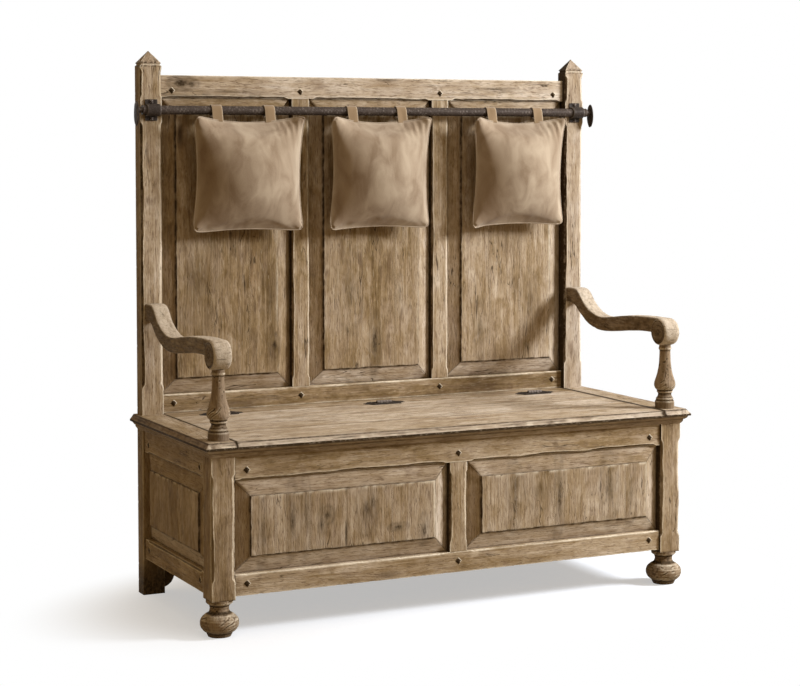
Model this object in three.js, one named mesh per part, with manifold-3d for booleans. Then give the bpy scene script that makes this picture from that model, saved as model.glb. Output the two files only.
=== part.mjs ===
// Settle bench: an oak chest seat with a hinged lid, a tall panelled back, scrolled arms,
// turned front feet and three cushions that hang by loops from an iron rod.
// Millimetres, +Z up, +X to the right of someone facing the seat, +Y towards the back.
// Inside this file y = 0 is the front face of the front legs. The last lines centre the bench.

import * as THREE from 'three';
import { mergeVertices } from 'three/addons/utils/BufferGeometryUtils.js';
import Module from 'manifold-3d';

const wasm = await Module();
wasm.setup();

// Fits
const clearance = 0.3;
const overrun = 2;

// Whole bench
const bodyWidth = 1400;
const bodyDepth = 574;
const totalHeight = 1490;
const seatHeight = 497;

// Rear posts with their pyramid finials
const postWidth = 62;
const postDepth = 44;
const finialHeight = 33;
const finialGroove = 8;
const finialGrooveDepth = 3.2;
const finialInset = 0.8;
const finialTip = 1;
const postShoulder = 23.6;

// Front legs and the turned feet under them
const legSize = 64;
const footHeight = 93;
const footRadius = 50.3;
const footRadiusShares = [
  [0, 0.585], [0.04, 0.63], [0.11, 0.68], [0.155, 0.815], [0.22, 0.92], [0.3, 0.985], [0.39, 1],
  [0.475, 0.96], [0.54, 0.87], [0.605, 0.725], [0.645, 0.575], [0.69, 0.52], [0.775, 0.49],
  [0.86, 0.525], [0.915, 0.69], [1, 0.69],
];

// Frames of rails and muntins
const frameThickness = 29;
const backSetback = 15;
const chestSetback = 6;
const topRailHeight = 62;
const seatRailHeight = 51;
const chestRailHeight = 82;
const bottomRailHeight = 55;
const bottomRailLift = 8;
const backMuntinWidth = 54;
const frontMuntinWidth = 52;

// Stopped chamfers along the edges of the frames
const arris = 0.8;
const postChamfer = 8;
const railChamfer = 5;
const chamferStop = 20;
const chamferRun = 14;

// Raised and fielded panels
const rimDepth = 18;
const tongueThickness = 7;
const tongueLength = 8;
const bevelWidth = 44;
const fieldStep = 4;
const fieldProud = 2;

// Peg heads, square and set on the diagonal
const pegHalfDiagonal = 7.5;
const pegSide = 1;
const pegProud = 3.6;
const pegRoot = 2;
const pegTip = 0.8;
const pegInset = 34;
const pegEdge = 24.5;
const topPegEdge = 20.4;

// Top boards: lid, fixed ends and the strip behind the lid
const topThickness = 19;
const noseOverhang = 21.3;
const noseBevelRun = 10.6;
const noseBevelDrop = 13.7;
const noseFlat = 4.2;
const lidGap = 1.5;
const stripDepth = 111;
const battenWidth = 60;
const battenThickness = 20;
const battenInset = 236;
const battenMargin = 60;

// Moulding under the edge of the top
const mouldingHeight = 21.7;
const mouldingReach = 15.4;
const mouldingShares = [
  [1, 1], [0.99, 0.86], [0.83, 0.7], [0.64, 0.61], [0.64, 0.56], [0.4, 0.52], [0.38, 0.37],
  [0.27, 0.18], [0.12, 0.05], [0.06, 0],
];

// Floor and back of the chest, and the brackets beside the rear feet
const floorThickness = 12;
const floorLift = 10;
const boxBackThickness = 14;
const boxBackSetback = 9;
const bracketWidth = 76;
const bracketThickness = 20;
const bracketSetback = 5;
const bracketLift = 12;
const bracketShares = [
  [0.06, 0], [0.2, 0.05], [0.33, 0.14], [0.42, 0.27], [0.47, 0.42], [0.53, 0.47], [0.56, 0.62],
  [0.66, 0.77], [0.82, 0.88], [1, 0.93],
];

// Scrolled arms on turned balusters
const armWidth = 49;
const armRise = 307;
const armEdge = 8;
const scrollRadius = 38.5;
const scrollEdge = 5;
const scrollFlat = 2;
const armStationShares = [
  [0, 0.997, 0.85], [0.06, 1, 0.849], [0.1, 0.997, 0.826], [0.13, 0.975, 0.786],
  [0.165, 0.909, 0.739], [0.21, 0.847, 0.696], [0.27, 0.796, 0.653], [0.34, 0.762, 0.627],
  [0.41, 0.756, 0.621], [0.49, 0.77, 0.629], [0.58, 0.79, 0.643], [0.68, 0.808, 0.663],
  [0.78, 0.818, 0.676], [0.88, 0.823, 0.682], [1, 0.823, 0.684],
];
const balusterRadius = 30.5;
const balusterShares = [
  [0, 0.9], [0.1, 0.9], [0.118, 0.86], [0.128, 0.76], [0.136, 0.82], [0.155, 0.82], [0.166, 0.72],
  [0.205, 0.62], [0.238, 0.62], [0.248, 0.74], [0.268, 0.74], [0.278, 0.69], [0.305, 0.87],
  [0.34, 0.975], [0.37, 1], [0.41, 0.975], [0.455, 0.89], [0.505, 0.79], [0.56, 0.7],
  [0.64, 0.61], [0.735, 0.55], [0.84, 0.52], [0.922, 0.51], [0.93, 0.585], [0.955, 0.59],
  [0.968, 0.54], [1, 0.54],
];

// Iron rod, with the flattened ends forged on it, and the brackets that hold it
const rodRadius = 12.7;
const rodDrop = 34;
const rodNeckRadius = 8;
const rodNeckLength = 12.5;
const paddleThickness = 6.5;
const paddleWidth = 34;
const paddleHeight = 71;
const paddleDrop = 9.5;
const plateWidth = 36;
const plateHeight = 58;
const plateThickness = 2.5;
const saddleWidth = 38;
const saddleThickness = 4;
const nailRadius = 5;
const nailProud = 4;
const nailSpread = 23;

// Surface hinges of the lid
const hingeLength = 127;
const hingeLeafDepth = 24;
const hingeShoulder = 9;
const hingeTip = 13.5;
const hingeFlare = 6;
const hingeThickness = 2.2;
const knuckleRadius = 4.5;
const knuckleCount = 5;
const knuckleZone = 46;
const pinRadius = 2;
const hingeInset = 141.5;

// Cushions and the loops that they hang by
const cushionWidth = 316;
const cushionHeight = 310;
const cushionThickness = 110;
const cushionPull = 13;
const cushionTiltDegrees = 2.5;
const cushionShift = 10;
const cushionPlaceShares = [-0.645, -0.005, 0.7];
const crownShare = 0.6;
const loopSpread = 78;
const loopWidth = 30;
const loopThickness = 2;
const seamDrop = 35;

// Facets
const turnedSides = 16;
const ironSides = 12;
const hingeSides = 8;
const cushionSteps = 14;
const weldDistance = 1e-4;

// Places worked out from the sizes above
const half = bodyWidth / 2;
const postInner = half - postWidth;
const legInner = half - legSize;
const legCentre = half - legSize / 2;
const postCentre = half - postWidth / 2;
const postFront = bodyDepth - postDepth;
const backFace = postFront + backSetback;
const sideFace = half - chestSetback;
const topUnder = seatHeight - topThickness;
const finialBase = totalHeight - finialHeight - finialGroove;
const topRailTop = finialBase - postShoulder;
const topRailBottom = topRailTop - topRailHeight;
const seatRailTop = seatHeight + seatRailHeight;
const bottomRailLow = footHeight + bottomRailLift;
const bottomRailTop = bottomRailLow + bottomRailHeight;
const chestRailLow = topUnder - chestRailHeight;
const hingeY = bodyDepth - stripDepth;
const rodGap = rodRadius + 2 * clearance;
const rodY = postFront - clearance - plateThickness - rodGap;
const rodZ = topRailBottom - rodDrop;

// Finishes
const oak = new THREE.MeshStandardMaterial({ color: 0xb39c7a, roughness: 0.72, metalness: 0 });
const iron = new THREE.MeshStandardMaterial({ color: 0x3a302b, roughness: 0.55, metalness: 0.8 });
const suede = new THREE.MeshStandardMaterial({ color: 0xb9a48a, roughness: 0.95, metalness: 0 });

const bench = new THREE.Group();

// Geometry helpers

// Merges shared vertices and turns the faces outwards.
function closed(geometry) {
  const bare = geometry.clone();
  bare.deleteAttribute('normal');
  bare.deleteAttribute('uv');
  const welded = mergeVertices(bare, weldDistance);
  const position = welded.getAttribute('position');
  const index = Array.from(welded.index.array);
  const corner = [new THREE.Vector3(), new THREE.Vector3(), new THREE.Vector3()];
  let volume = 0;
  for (let i = 0; i < index.length; i += 3) {
    corner.forEach((point, k) => point.fromBufferAttribute(position, index[i + k]));
    volume += corner[0].dot(corner[1].clone().cross(corner[2]));
  }
  if (volume < 0) {
    index.reverse();
  }
  welded.setIndex(index);
  return welded;
}

function solidOf(geometry) {
  const mesh = closed(geometry);
  return new wasm.Manifold(new wasm.Mesh({
    numProp: 3,
    vertProperties: new Float32Array(mesh.getAttribute('position').array),
    triVerts: new Uint32Array(mesh.index.array),
  }));
}

function geometryOf(solid) {
  const mesh = solid.getMesh();
  const geometry = new THREE.BufferGeometry();
  geometry.setAttribute('position', new THREE.BufferAttribute(mesh.vertProperties, 3));
  geometry.setIndex(new THREE.BufferAttribute(mesh.triVerts, 1));
  return geometry;
}

function joined(...geometries) {
  return geometryOf(geometries.map(solidOf).reduce((sum, solid) => sum.add(solid)));
}

function cut(geometry, ...tools) {
  return geometryOf(tools.map(solidOf).reduce((rest, tool) => rest.subtract(tool), solidOf(geometry)));
}

function mirrored(geometry) {
  return closed(geometry.clone().scale(-1, 1, 1));
}

// A box between two opposite corners.
function block(a, b) {
  const size = a.map((value, k) => Math.abs(b[k] - value));
  const centre = a.map((value, k) => (b[k] + value) / 2);
  return new THREE.BoxGeometry(...size).translate(...centre);
}

// Rings of as many points each, skinned in order, with both ends closed.
function loft(rings) {
  const count = rings[0].length;
  const index = [];
  for (let r = 0; r + 1 < rings.length; r += 1) {
    for (let k = 0; k < count; k += 1) {
      const a = r * count + k;
      const b = r * count + (k + 1) % count;
      index.push(a, b, b + count, a, b + count, a + count);
    }
  }
  const last = (rings.length - 1) * count;
  for (let k = 1; k + 1 < count; k += 1) {
    index.push(0, k + 1, k, last, last + k, last + k + 1);
  }
  const geometry = new THREE.BufferGeometry();
  geometry.setAttribute('position', new THREE.Float32BufferAttribute(rings.flat(2), 3));
  geometry.setIndex(index);
  return geometry;
}

// A shape drawn in (first, second) and pulled from start to end along the third axis.
// place turns (first, second, along) into a point of the bench.
function pulled(points, start, end, place, holes = []) {
  const shape = new THREE.Shape(points.map((point) => new THREE.Vector2(...point)));
  holes.forEach((hole) => {
    shape.holes.push(new THREE.Path(hole.map((point) => new THREE.Vector2(...point))));
  });
  const geometry = new THREE.ExtrudeGeometry(shape, { depth: 1, bevelEnabled: false });
  const position = geometry.getAttribute('position');
  for (let i = 0; i < position.count; i += 1) {
    const first = position.getX(i);
    const second = position.getY(i);
    const along = position.getZ(i) > 0.5 ? end : start;
    const reached = typeof along === 'function' ? along(first) : along;
    position.setXYZ(i, ...place(first, second, reached));
  }
  return geometry;
}

// A turned piece: rows of (height, radius), on a vertical axis.
function turned(rows, sides) {
  const points = rows.map(([height, radius]) => new THREE.Vector2(radius, height));
  points.unshift(new THREE.Vector2(0, rows[0][0]));
  points.push(new THREE.Vector2(0, rows[rows.length - 1][0]));
  return new THREE.LatheGeometry(points, sides).rotateX(Math.PI / 2);
}

// A section of a post or rail, eight points, with each corner cut by its own amount.
// The corners run low-low, high-low, high-high, low-high.
function section(low, high, cuts) {
  return [
    [low[0], low[1] + cuts[0]], [low[0] + cuts[0], low[1]],
    [high[0] - cuts[1], low[1]], [high[0], low[1] + cuts[1]],
    [high[0], high[1] - cuts[2]], [high[0] - cuts[2], high[1]],
    [low[0] + cuts[3], high[1]], [low[0], high[1] - cuts[3]],
  ];
}

// Puts a section across an axis: 0 is x, 1 is y, 2 is z.
function across(axis, points, along) {
  return points.map((point) => {
    const place = [0, 0, 0];
    place[axis] = along;
    place[(axis + 1) % 3] = point[0];
    place[(axis + 2) % 3] = point[1];
    return place;
  });
}

// A rail, muntin, leg or post between two corners, with stopped chamfers on its edges.
// stretches are the parts of its length that are chamfered.
function hewn(axis, a, b, cuts, stretches) {
  const sides = [(axis + 1) % 3, (axis + 2) % 3];
  const low = sides.map((k) => Math.min(a[k], b[k]));
  const high = sides.map((k) => Math.max(a[k], b[k]));
  const start = Math.min(a[axis], b[axis]);
  const end = Math.max(a[axis], b[axis]);
  const sharp = cuts.map(() => arris);
  const soft = cuts.map((value) => Math.max(value, arris));
  const runs = stretches ?? [[start + chamferStop, end - chamferStop]];
  const rings = [across(axis, section(low, high, sharp), start)];
  runs.forEach(([from, to]) => {
    rings.push(across(axis, section(low, high, sharp), from));
    rings.push(across(axis, section(low, high, soft), from + chamferRun));
    rings.push(across(axis, section(low, high, soft), to - chamferRun));
    rings.push(across(axis, section(low, high, sharp), to));
  });
  rings.push(across(axis, section(low, high, sharp), end));
  return rings;
}

// Adds one named piece.
function add(name, geometry, material, parent = bench) {
  const mesh = new THREE.Mesh(closed(geometry), material);
  mesh.name = name;
  parent.add(mesh);
}

// Adds a piece made for the right side and its mirror image on the left.
function addPair(name, geometry, material) {
  add(`${name}_right`, geometry, material);
  add(`${name}_left`, mirrored(geometry), material);
}

// The frames of panels

// Each frame turns (along, height, depth behind its face) into a point of the bench.
const backPlace = (u, v, depth) => [u, backFace + depth, v];
const frontPlace = (u, v, depth) => [u, chestSetback + depth, v];
const sidePlace = (u, v, depth) => [sideFace - depth, u, v];

// Equal openings between two ends, with a muntin between neighbours.
function openings(from, to, count, muntin, low, high) {
  const width = (to - from - (count - 1) * muntin) / count;
  return Array.from({ length: count }, (_, k) => {
    const start = from + k * (width + muntin);
    return { from: start, to: start + width, low, high };
  });
}

const backOpenings = openings(-postInner, postInner, 3, backMuntinWidth, seatRailTop, topRailBottom);
const frontOpenings = openings(-legInner, legInner, 2, frontMuntinWidth, bottomRailTop, chestRailLow);
const sideOpenings = openings(legSize, postFront, 1, 0, bottomRailTop, chestRailLow);

// The slot that a panel's tongue needs in the frame round it.
function slot(opening, place) {
  const reach = tongueLength + clearance;
  return block(
    place(opening.from - reach, opening.low - reach, rimDepth - clearance),
    place(opening.to + reach, opening.high + reach, rimDepth + tongueThickness + clearance),
  );
}

const backSlots = backOpenings.map((opening) => slot(opening, backPlace));
const frontSlots = frontOpenings.map((opening) => slot(opening, frontPlace));
const sideSlots = sideOpenings.map((opening) => slot(opening, sidePlace));

// A raised and fielded panel: tongue, bevelled margin, small step, flat field.
function raisedPanel(opening, place) {
  const ring = (grow, depth) => [
    place(opening.from - grow, opening.low - grow, depth),
    place(opening.to + grow, opening.low - grow, depth),
    place(opening.to + grow, opening.high + grow, depth),
    place(opening.from - grow, opening.high + grow, depth),
  ];
  return loft([
    ring(tongueLength, rimDepth + tongueThickness),
    ring(tongueLength, rimDepth),
    ring(0, rimDepth),
    ring(-bevelWidth, fieldStep - fieldProud),
    ring(-bevelWidth, -fieldProud),
  ]);
}

// The head of a square peg that shows on the face of a rail.
function peg(u, v, place) {
  const ring = (radius, proud) => [
    place(u - radius, v, -proud), place(u, v - radius, -proud),
    place(u + radius, v, -proud), place(u, v + radius, -proud),
  ];
  return loft([ring(pegHalfDiagonal, -pegRoot), ring(pegHalfDiagonal, pegSide), ring(pegTip, pegProud)]);
}

// A rail with its slots cut and its peg heads standing on it.
function pegged(rings, slots, pegs) {
  return joined(cut(loft(rings), ...slots), ...pegs);
}

// Rear posts. The section shrinks into a groove and then into the pyramid finial.
function rearPost() {
  const cuts = [postChamfer, postChamfer, arris, arris];
  const bracketLow = rodZ - plateHeight / 2;
  const bracketHigh = rodZ + plateHeight / 2;
  const stretches = [
    [seatRailTop + chamferStop, bracketLow],
    [bracketHigh, finialBase - arris],
  ];
  const rings = hewn(2, [postInner, postFront, 0], [half, bodyDepth, finialBase], cuts, stretches);
  const shrunk = (inset) => section(
    [postInner + inset, postFront + inset],
    [half - inset, bodyDepth - inset],
    cuts.map(() => arris),
  );
  rings.push(across(2, shrunk(finialGrooveDepth), finialBase + finialGroove / 2));
  rings.push(across(2, shrunk(finialInset), finialBase + finialGroove));
  const middle = [postCentre, postFront + postDepth / 2];
  const tip = section(
    middle.map((value) => value - finialTip),
    middle.map((value) => value + finialTip),
    cuts.map(() => finialTip / 4),
  );
  rings.push(across(2, tip, totalHeight));
  return cut(loft(rings), ...backSlots, ...sideSlots);
}

function frontLeg() {
  const cuts = [postChamfer, postChamfer, railChamfer, arris];
  const stretches = [[bottomRailTop - chamferStop, chestRailLow + chamferStop]];
  const rings = hewn(2, [legInner, 0, footHeight], [half, legSize, topUnder - clearance], cuts, stretches);
  return cut(loft(rings), ...frontSlots, ...sideSlots);
}

function bunFoot() {
  const height = footHeight - clearance;
  const rows = footRadiusShares.map(([up, out]) => [up * height, out * footRadius]);
  return turned(rows, turnedSides).translate(legCentre, legSize / 2, 0);
}

// Back frame
function backTopRail() {
  const end = postInner - clearance;
  const rings = hewn(0, backPlace(-end, topRailBottom, 0), backPlace(end, topRailTop, frameThickness),
    [railChamfer, arris, arris, arris]);
  return pegged(rings, backSlots, backPegs(topRailBottom + topPegEdge));
}

function backSeatRail() {
  const end = postInner - clearance;
  const low = seatHeight + clearance;
  const rings = hewn(0, backPlace(-end, low, 0), backPlace(end, seatRailTop, frameThickness),
    [arris, arris, arris, railChamfer]);
  return pegged(rings, backSlots, backPegs(seatRailTop - pegEdge));
}

function backPegs(height) {
  const muntins = [backOpenings[0], backOpenings[1]].map((opening) => opening.to + backMuntinWidth / 2);
  const places = [pegInset - postInner, ...muntins, postInner - pegInset];
  return places.map((u) => peg(u, height, backPlace));
}

function backMuntin(opening) {
  const low = seatRailTop + clearance;
  const high = topRailBottom - clearance;
  const side = opening.to + backMuntinWidth;
  const rings = hewn(2, backPlace(opening.to, low, 0), backPlace(side, high, frameThickness),
    [railChamfer, railChamfer, arris, arris]);
  return cut(loft(rings), ...backSlots);
}

// Chest frames
function frontPegs(height) {
  return [pegInset - legInner, 0, legInner - pegInset].map((u) => peg(u, height, frontPlace));
}

function sidePegs(height) {
  return [legSize + pegInset, postFront - pegInset].map((u) => peg(u, height, sidePlace));
}

function frontTopRail() {
  const end = legInner - clearance;
  const high = topUnder - clearance;
  const rings = hewn(0, frontPlace(-end, chestRailLow, 0), frontPlace(end, high, frameThickness),
    [railChamfer, arris, arris, arris]);
  return pegged(rings, frontSlots, frontPegs(chestRailLow + pegEdge));
}

function frontBottomRail() {
  const end = legInner - clearance;
  const rings = hewn(0, frontPlace(-end, bottomRailLow, 0), frontPlace(end, bottomRailTop, frameThickness),
    [arris, arris, arris, railChamfer]);
  return pegged(rings, frontSlots, frontPegs(bottomRailTop - pegEdge));
}

function frontMuntin() {
  const side = frontMuntinWidth / 2;
  const rings = hewn(2, frontPlace(-side, bottomRailTop + clearance, 0),
    frontPlace(side, chestRailLow - clearance, frameThickness), [railChamfer, railChamfer, arris, arris]);
  return cut(loft(rings), ...frontSlots);
}

function sideTopRail() {
  const high = topUnder - clearance;
  const rings = hewn(1, sidePlace(legSize + clearance, chestRailLow, 0),
    sidePlace(postFront - clearance, high, frameThickness), [arris, arris, arris, railChamfer]);
  return pegged(rings, sideSlots, sidePegs(chestRailLow + pegEdge));
}

function sideBottomRail() {
  const rings = hewn(1, sidePlace(legSize + clearance, bottomRailLow, 0),
    sidePlace(postFront - clearance, bottomRailTop, frameThickness), [arris, arris, railChamfer, arris]);
  return pegged(rings, sideSlots, sidePegs(bottomRailTop - pegEdge));
}

function boxBackRail() {
  const end = postInner - clearance;
  return loft(hewn(0, backPlace(-end, bottomRailLow, 0), backPlace(end, bottomRailTop, frameThickness),
    [arris, arris, arris, arris]));
}

function boxBackPanel() {
  const end = postInner - clearance;
  return block(
    backPlace(-end, bottomRailTop + clearance, boxBackSetback),
    backPlace(end, topUnder - clearance, boxBackSetback + boxBackThickness),
  );
}

// The floor lies between the bottom rails and is notched round the legs and posts.
function chestFloor() {
  const side = sideFace - frameThickness - clearance;
  const front = chestSetback + frameThickness + clearance;
  const back = backFace - clearance;
  const right = [
    [legInner - clearance, front], [legInner - clearance, legSize + clearance],
    [side, legSize + clearance], [side, postFront - clearance],
    [postInner - clearance, postFront - clearance], [postInner - clearance, back],
  ];
  const left = right.map(([x, y]) => [-x, y]).reverse();
  const low = bottomRailLow + floorLift;
  return pulled([...right, ...left], low, low + floorThickness, (x, y, z) => [x, y, z]);
}

// The shaped bracket beside a rear foot, under the rail.
function rearBracket() {
  const side = postInner - clearance;
  const top = bottomRailLow - clearance;
  const rise = top - bracketLift;
  const curve = bracketShares.map(([out, up]) => [side - out * bracketWidth, bracketLift + up * rise]);
  const outline = [[side, top], [side, bracketLift], ...curve, [side - bracketWidth, top]];
  const front = backFace + bracketSetback;
  return pulled(outline, front, front + bracketThickness, (x, z, y) => [x, y, z]);
}

// Top boards. out is how far a point lies outside the legs.
function noseOutline(inner) {
  const bevelFoot = seatHeight - noseBevelDrop;
  return [
    [inner, topUnder], [inner, seatHeight], [noseOverhang - noseBevelRun, seatHeight],
    [noseOverhang, bevelFoot], [noseOverhang, bevelFoot - noseFlat],
    [noseOverhang - clearance, topUnder],
  ];
}

function topEnd() {
  const across = pulled(noseOutline(postInner - half), -noseOverhang, bodyDepth,
    (out, z, y) => [half + out, y, z]);
  const along = pulled(noseOutline(-bodyDepth), postInner, half + noseOverhang,
    (out, z, x) => [x, -out, z]);
  const board = geometryOf(solidOf(across).intersect(solidOf(along)));
  const notch = block(
    [postInner - overrun, postFront - clearance, topUnder - overrun],
    [half + clearance, bodyDepth + overrun, seatHeight + overrun],
  );
  return cut(board, notch);
}

function topBackStrip() {
  const end = postInner - clearance;
  return block([-end, hingeY + lidGap / 2, topUnder], [end, bodyDepth, seatHeight]);
}

function lid() {
  const end = postInner - lidGap;
  return pulled(noseOutline(lidGap / 2 - hingeY), -end, end, (out, z, x) => [x, -out, z]);
}

function lidBatten(side) {
  const centre = side * (postInner - battenInset);
  const top = topUnder - clearance;
  return block(
    [centre - battenWidth / 2, battenMargin, top - battenThickness],
    [centre + battenWidth / 2, hingeY - battenMargin, top],
  );
}

// Moulding: a band whose ends are mitred where it turns the front corners.
function mouldingOutline() {
  const low = topUnder - clearance - mouldingHeight;
  const curve = mouldingShares.map(([out, up]) => [out * mouldingReach, low + up * mouldingHeight]);
  return [[clearance, low + mouldingHeight], ...curve, [clearance, low]];
}

const mitreGap = clearance * Math.SQRT1_2;

function mouldingFront() {
  const reach = (out) => half + out - mitreGap;
  const band = pulled(mouldingOutline(), (out) => -reach(out), reach, (out, z, x) => [x, -out, z]);
  const low = topUnder - clearance - mouldingHeight;
  const end = legInner - clearance;
  const filling = block([-end, -2 * clearance, low], [end, chestSetback - clearance, low + mouldingHeight]);
  return joined(band, filling);
}

function mouldingSide() {
  const band = pulled(mouldingOutline(), (out) => mitreGap - out, bodyDepth,
    (out, z, y) => [half + out, y, z]);
  const low = topUnder - clearance - mouldingHeight;
  const filling = block(
    [sideFace + clearance, legSize + clearance, low],
    [half + 2 * clearance, postFront - clearance, low + mouldingHeight],
  );
  return joined(band, filling);
}

// Arms: a band that falls from the post, runs forward and ends in a roll over the baluster.
const armFront = legSize / 2;
const armFrontShare = armStationShares[armStationShares.length - 1][1];
const scrollZ = seatHeight + armFrontShare * armRise - scrollRadius;
const armSeatZ = scrollZ - scrollRadius + scrollFlat;

function arm() {
  const back = postFront - clearance;
  const side = armWidth / 2;
  const rings = armStationShares.map(([along, top, bottom]) => {
    const y = back + along * (armFront - back);
    const corner = section(
      [seatHeight + bottom * armRise, legCentre - side],
      [seatHeight + top * armRise, legCentre + side],
      [armEdge / 2, armEdge, armEdge, armEdge / 2],
    );
    return across(1, corner, y);
  });
  const roll = turned([
    [-side, scrollRadius - scrollEdge], [scrollEdge - side, scrollRadius],
    [side - scrollEdge, scrollRadius], [side, scrollRadius - scrollEdge],
  ], turnedSides).rotateY(Math.PI / 2).translate(legCentre, armFront, scrollZ);
  const flat = block(
    [legCentre - armWidth, armFront - scrollRadius, armSeatZ],
    [legCentre + armWidth, armFront + scrollRadius, armSeatZ - scrollRadius],
  );
  return cut(joined(loft(rings), roll), flat);
}

function armBaluster() {
  const low = seatHeight + clearance;
  const height = armSeatZ - clearance - low;
  const rows = balusterShares.map(([up, out]) => [low + up * height, out * balusterRadius]);
  return turned(rows, turnedSides).translate(legCentre, legSize / 2, 0);
}

// Rod and its brackets
function hangingRod() {
  const neck = half + rodNeckLength;
  const bar = turned([
    [-neck - clearance, rodNeckRadius], [-half, rodNeckRadius], [-half, rodRadius],
    [half, rodRadius], [half, rodNeckRadius], [neck + clearance, rodNeckRadius],
  ], ironSides).rotateY(Math.PI / 2);
  const oval = Array.from({ length: turnedSides }, (_, k) => {
    const angle = 2 * Math.PI * k / turnedSides;
    return [paddleWidth / 2 * Math.cos(angle), paddleHeight / 2 * Math.sin(angle) - paddleDrop];
  });
  const paddle = pulled(oval, neck, neck + paddleThickness, (y, z, x) => [x, y, z]);
  return joined(bar, paddle, mirrored(paddle)).translate(0, rodY, rodZ);
}

function rodBracket() {
  const plateFace = rodY + rodGap;
  const plate = block(
    [postCentre - plateWidth / 2, plateFace, rodZ - plateHeight / 2],
    [postCentre + plateWidth / 2, plateFace + plateThickness, rodZ + plateHeight / 2],
  );
  const outer = rodRadius + clearance + saddleThickness;
  const arch = Array.from({ length: ironSides + 1 }, (_, k) => {
    const angle = Math.PI * k / ironSides;
    return [rodY - outer * Math.sin(angle), rodZ + outer * Math.cos(angle)];
  });
  const outline = [[plateFace + clearance, rodZ + outer], ...arch, [plateFace + clearance, rodZ - outer]];
  const saddle = pulled(outline, postCentre - saddleWidth / 2, postCentre + saddleWidth / 2,
    (y, z, x) => [x, y, z]);
  const boreRadius = rodRadius + clearance;
  const bore = turned([[-saddleWidth, boreRadius], [saddleWidth, boreRadius]], 2 * ironSides)
    .rotateY(Math.PI / 2).translate(postCentre, rodY, rodZ);
  const nails = [-1, 1].map((side) => {
    const ring = (radius, proud) => [[-1, -1], [1, -1], [1, 1], [-1, 1]].map(([u, v]) => [
      postCentre + u * radius, plateFace - proud, rodZ + side * nailSpread + v * radius,
    ]);
    const [root, shoulder, tip] = [-clearance, nailProud / 4, nailProud];
    return loft([ring(nailRadius, root), ring(nailRadius, shoulder), ring(nailRadius / 4, tip)]);
  });
  return joined(cut(joined(plate, saddle), bore), ...nails);
}

// Hinges. A leaf lies on the top boards and carries every other knuckle of the barrel.
const barrelZ = seatHeight + clearance + knuckleRadius;
const knucklePitch = knuckleZone / knuckleCount;

function barrel(centre, radius, length) {
  return turned([[-length / 2, radius], [length / 2, radius]], hingeSides)
    .rotateY(Math.PI / 2).translate(centre, hingeY, barrelZ);
}

// side is 1 for the leaf on the fixed strip and -1 for the leaf on the lid.
function hingeLeaf(centre, side) {
  const gap = knuckleRadius + clearance;
  const tip = hingeLength / 2;
  const right = [[tip, gap], [tip - hingeTip, hingeShoulder], [tip - hingeTip - hingeFlare, hingeLeafDepth]];
  const left = right.map(([x, y]) => [-x, y]).reverse();
  const low = seatHeight + clearance;
  const plate = pulled([...right, ...left], low, low + hingeThickness,
    (x, y, z) => [centre + x, hingeY + side * y, z]);
  const owned = Array.from({ length: knuckleCount }, (_, k) => k).filter((k) => (k % 2 === 0) === (side > 0));
  const knuckles = owned.flatMap((k) => {
    const middle = centre + (k - (knuckleCount - 1) / 2) * knucklePitch;
    const reach = (knucklePitch - clearance) / 2;
    const web = block(
      [middle - reach, hingeY, low],
      [middle + reach, hingeY + side * (gap + clearance), low + hingeThickness],
    );
    return [barrel(middle, knuckleRadius, 2 * reach), web];
  });
  const leaf = joined(plate, ...knuckles);
  return side > 0
    ? joined(leaf, barrel(centre, pinRadius, knuckleZone + 2 * clearance))
    : cut(leaf, barrel(centre, pinRadius + clearance, knuckleZone + overrun));
}

// Cushions. u and v run from -1 to 1 across and up the cushion.
function cushionPoint(u, v, side) {
  const puff = Math.pow(Math.max((1 - u * u) * (1 - v * v), 0), crownShare);
  return [
    u * (cushionWidth / 2 - cushionPull * (1 - v * v)),
    side * cushionThickness / 2 * puff,
    v * (cushionHeight / 2 - cushionPull * (1 - u * u)),
  ];
}

function cushion() {
  const spread = (k) => Math.sin((2 * k / cushionSteps - 1) * Math.PI / 2);
  const positions = [];
  const index = [];
  [-1, 1].forEach((side) => {
    const first = positions.length / 3;
    for (let j = 0; j <= cushionSteps; j += 1) {
      for (let i = 0; i <= cushionSteps; i += 1) {
        positions.push(...cushionPoint(spread(i), spread(j), side));
      }
    }
    for (let j = 0; j < cushionSteps; j += 1) {
      for (let i = 0; i < cushionSteps; i += 1) {
        const a = first + j * (cushionSteps + 1) + i;
        const c = a + cushionSteps + 1;
        const faces = [a, a + 1, c + 1, a, c + 1, c];
        index.push(...(side < 0 ? faces : faces.reverse()));
      }
    }
  });
  const geometry = new THREE.BufferGeometry();
  geometry.setAttribute('position', new THREE.Float32BufferAttribute(positions, 3));
  geometry.setIndex(index);
  return geometry;
}

// A cushion lies back against the panels, with its foot a little nearer to them than its head.
const cushionTilt = THREE.MathUtils.degToRad(cushionTiltDegrees);
const crownReach = Math.max(...Array.from({ length: 2 * cushionSteps + 1 }, (_, k) => {
  const [, y, z] = cushionPoint(0, k / cushionSteps - 1, 1);
  return y * Math.cos(cushionTilt) - z * Math.sin(cushionTilt);
}));
const cushionY = backFace - fieldProud - clearance - crownReach - rodY;
const cushionZ = -seamDrop - cushionPoint(0, 1, 1)[2] * Math.cos(cushionTilt);

// The seam along the top of a cushion, measured from the axis of the rod.
function seamPoint(offset) {
  const height = cushionPoint(2 * offset / cushionWidth, 1, 1)[2];
  return [cushionY - height * Math.sin(cushionTilt), cushionZ + height * Math.cos(cushionTilt)];
}

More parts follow.
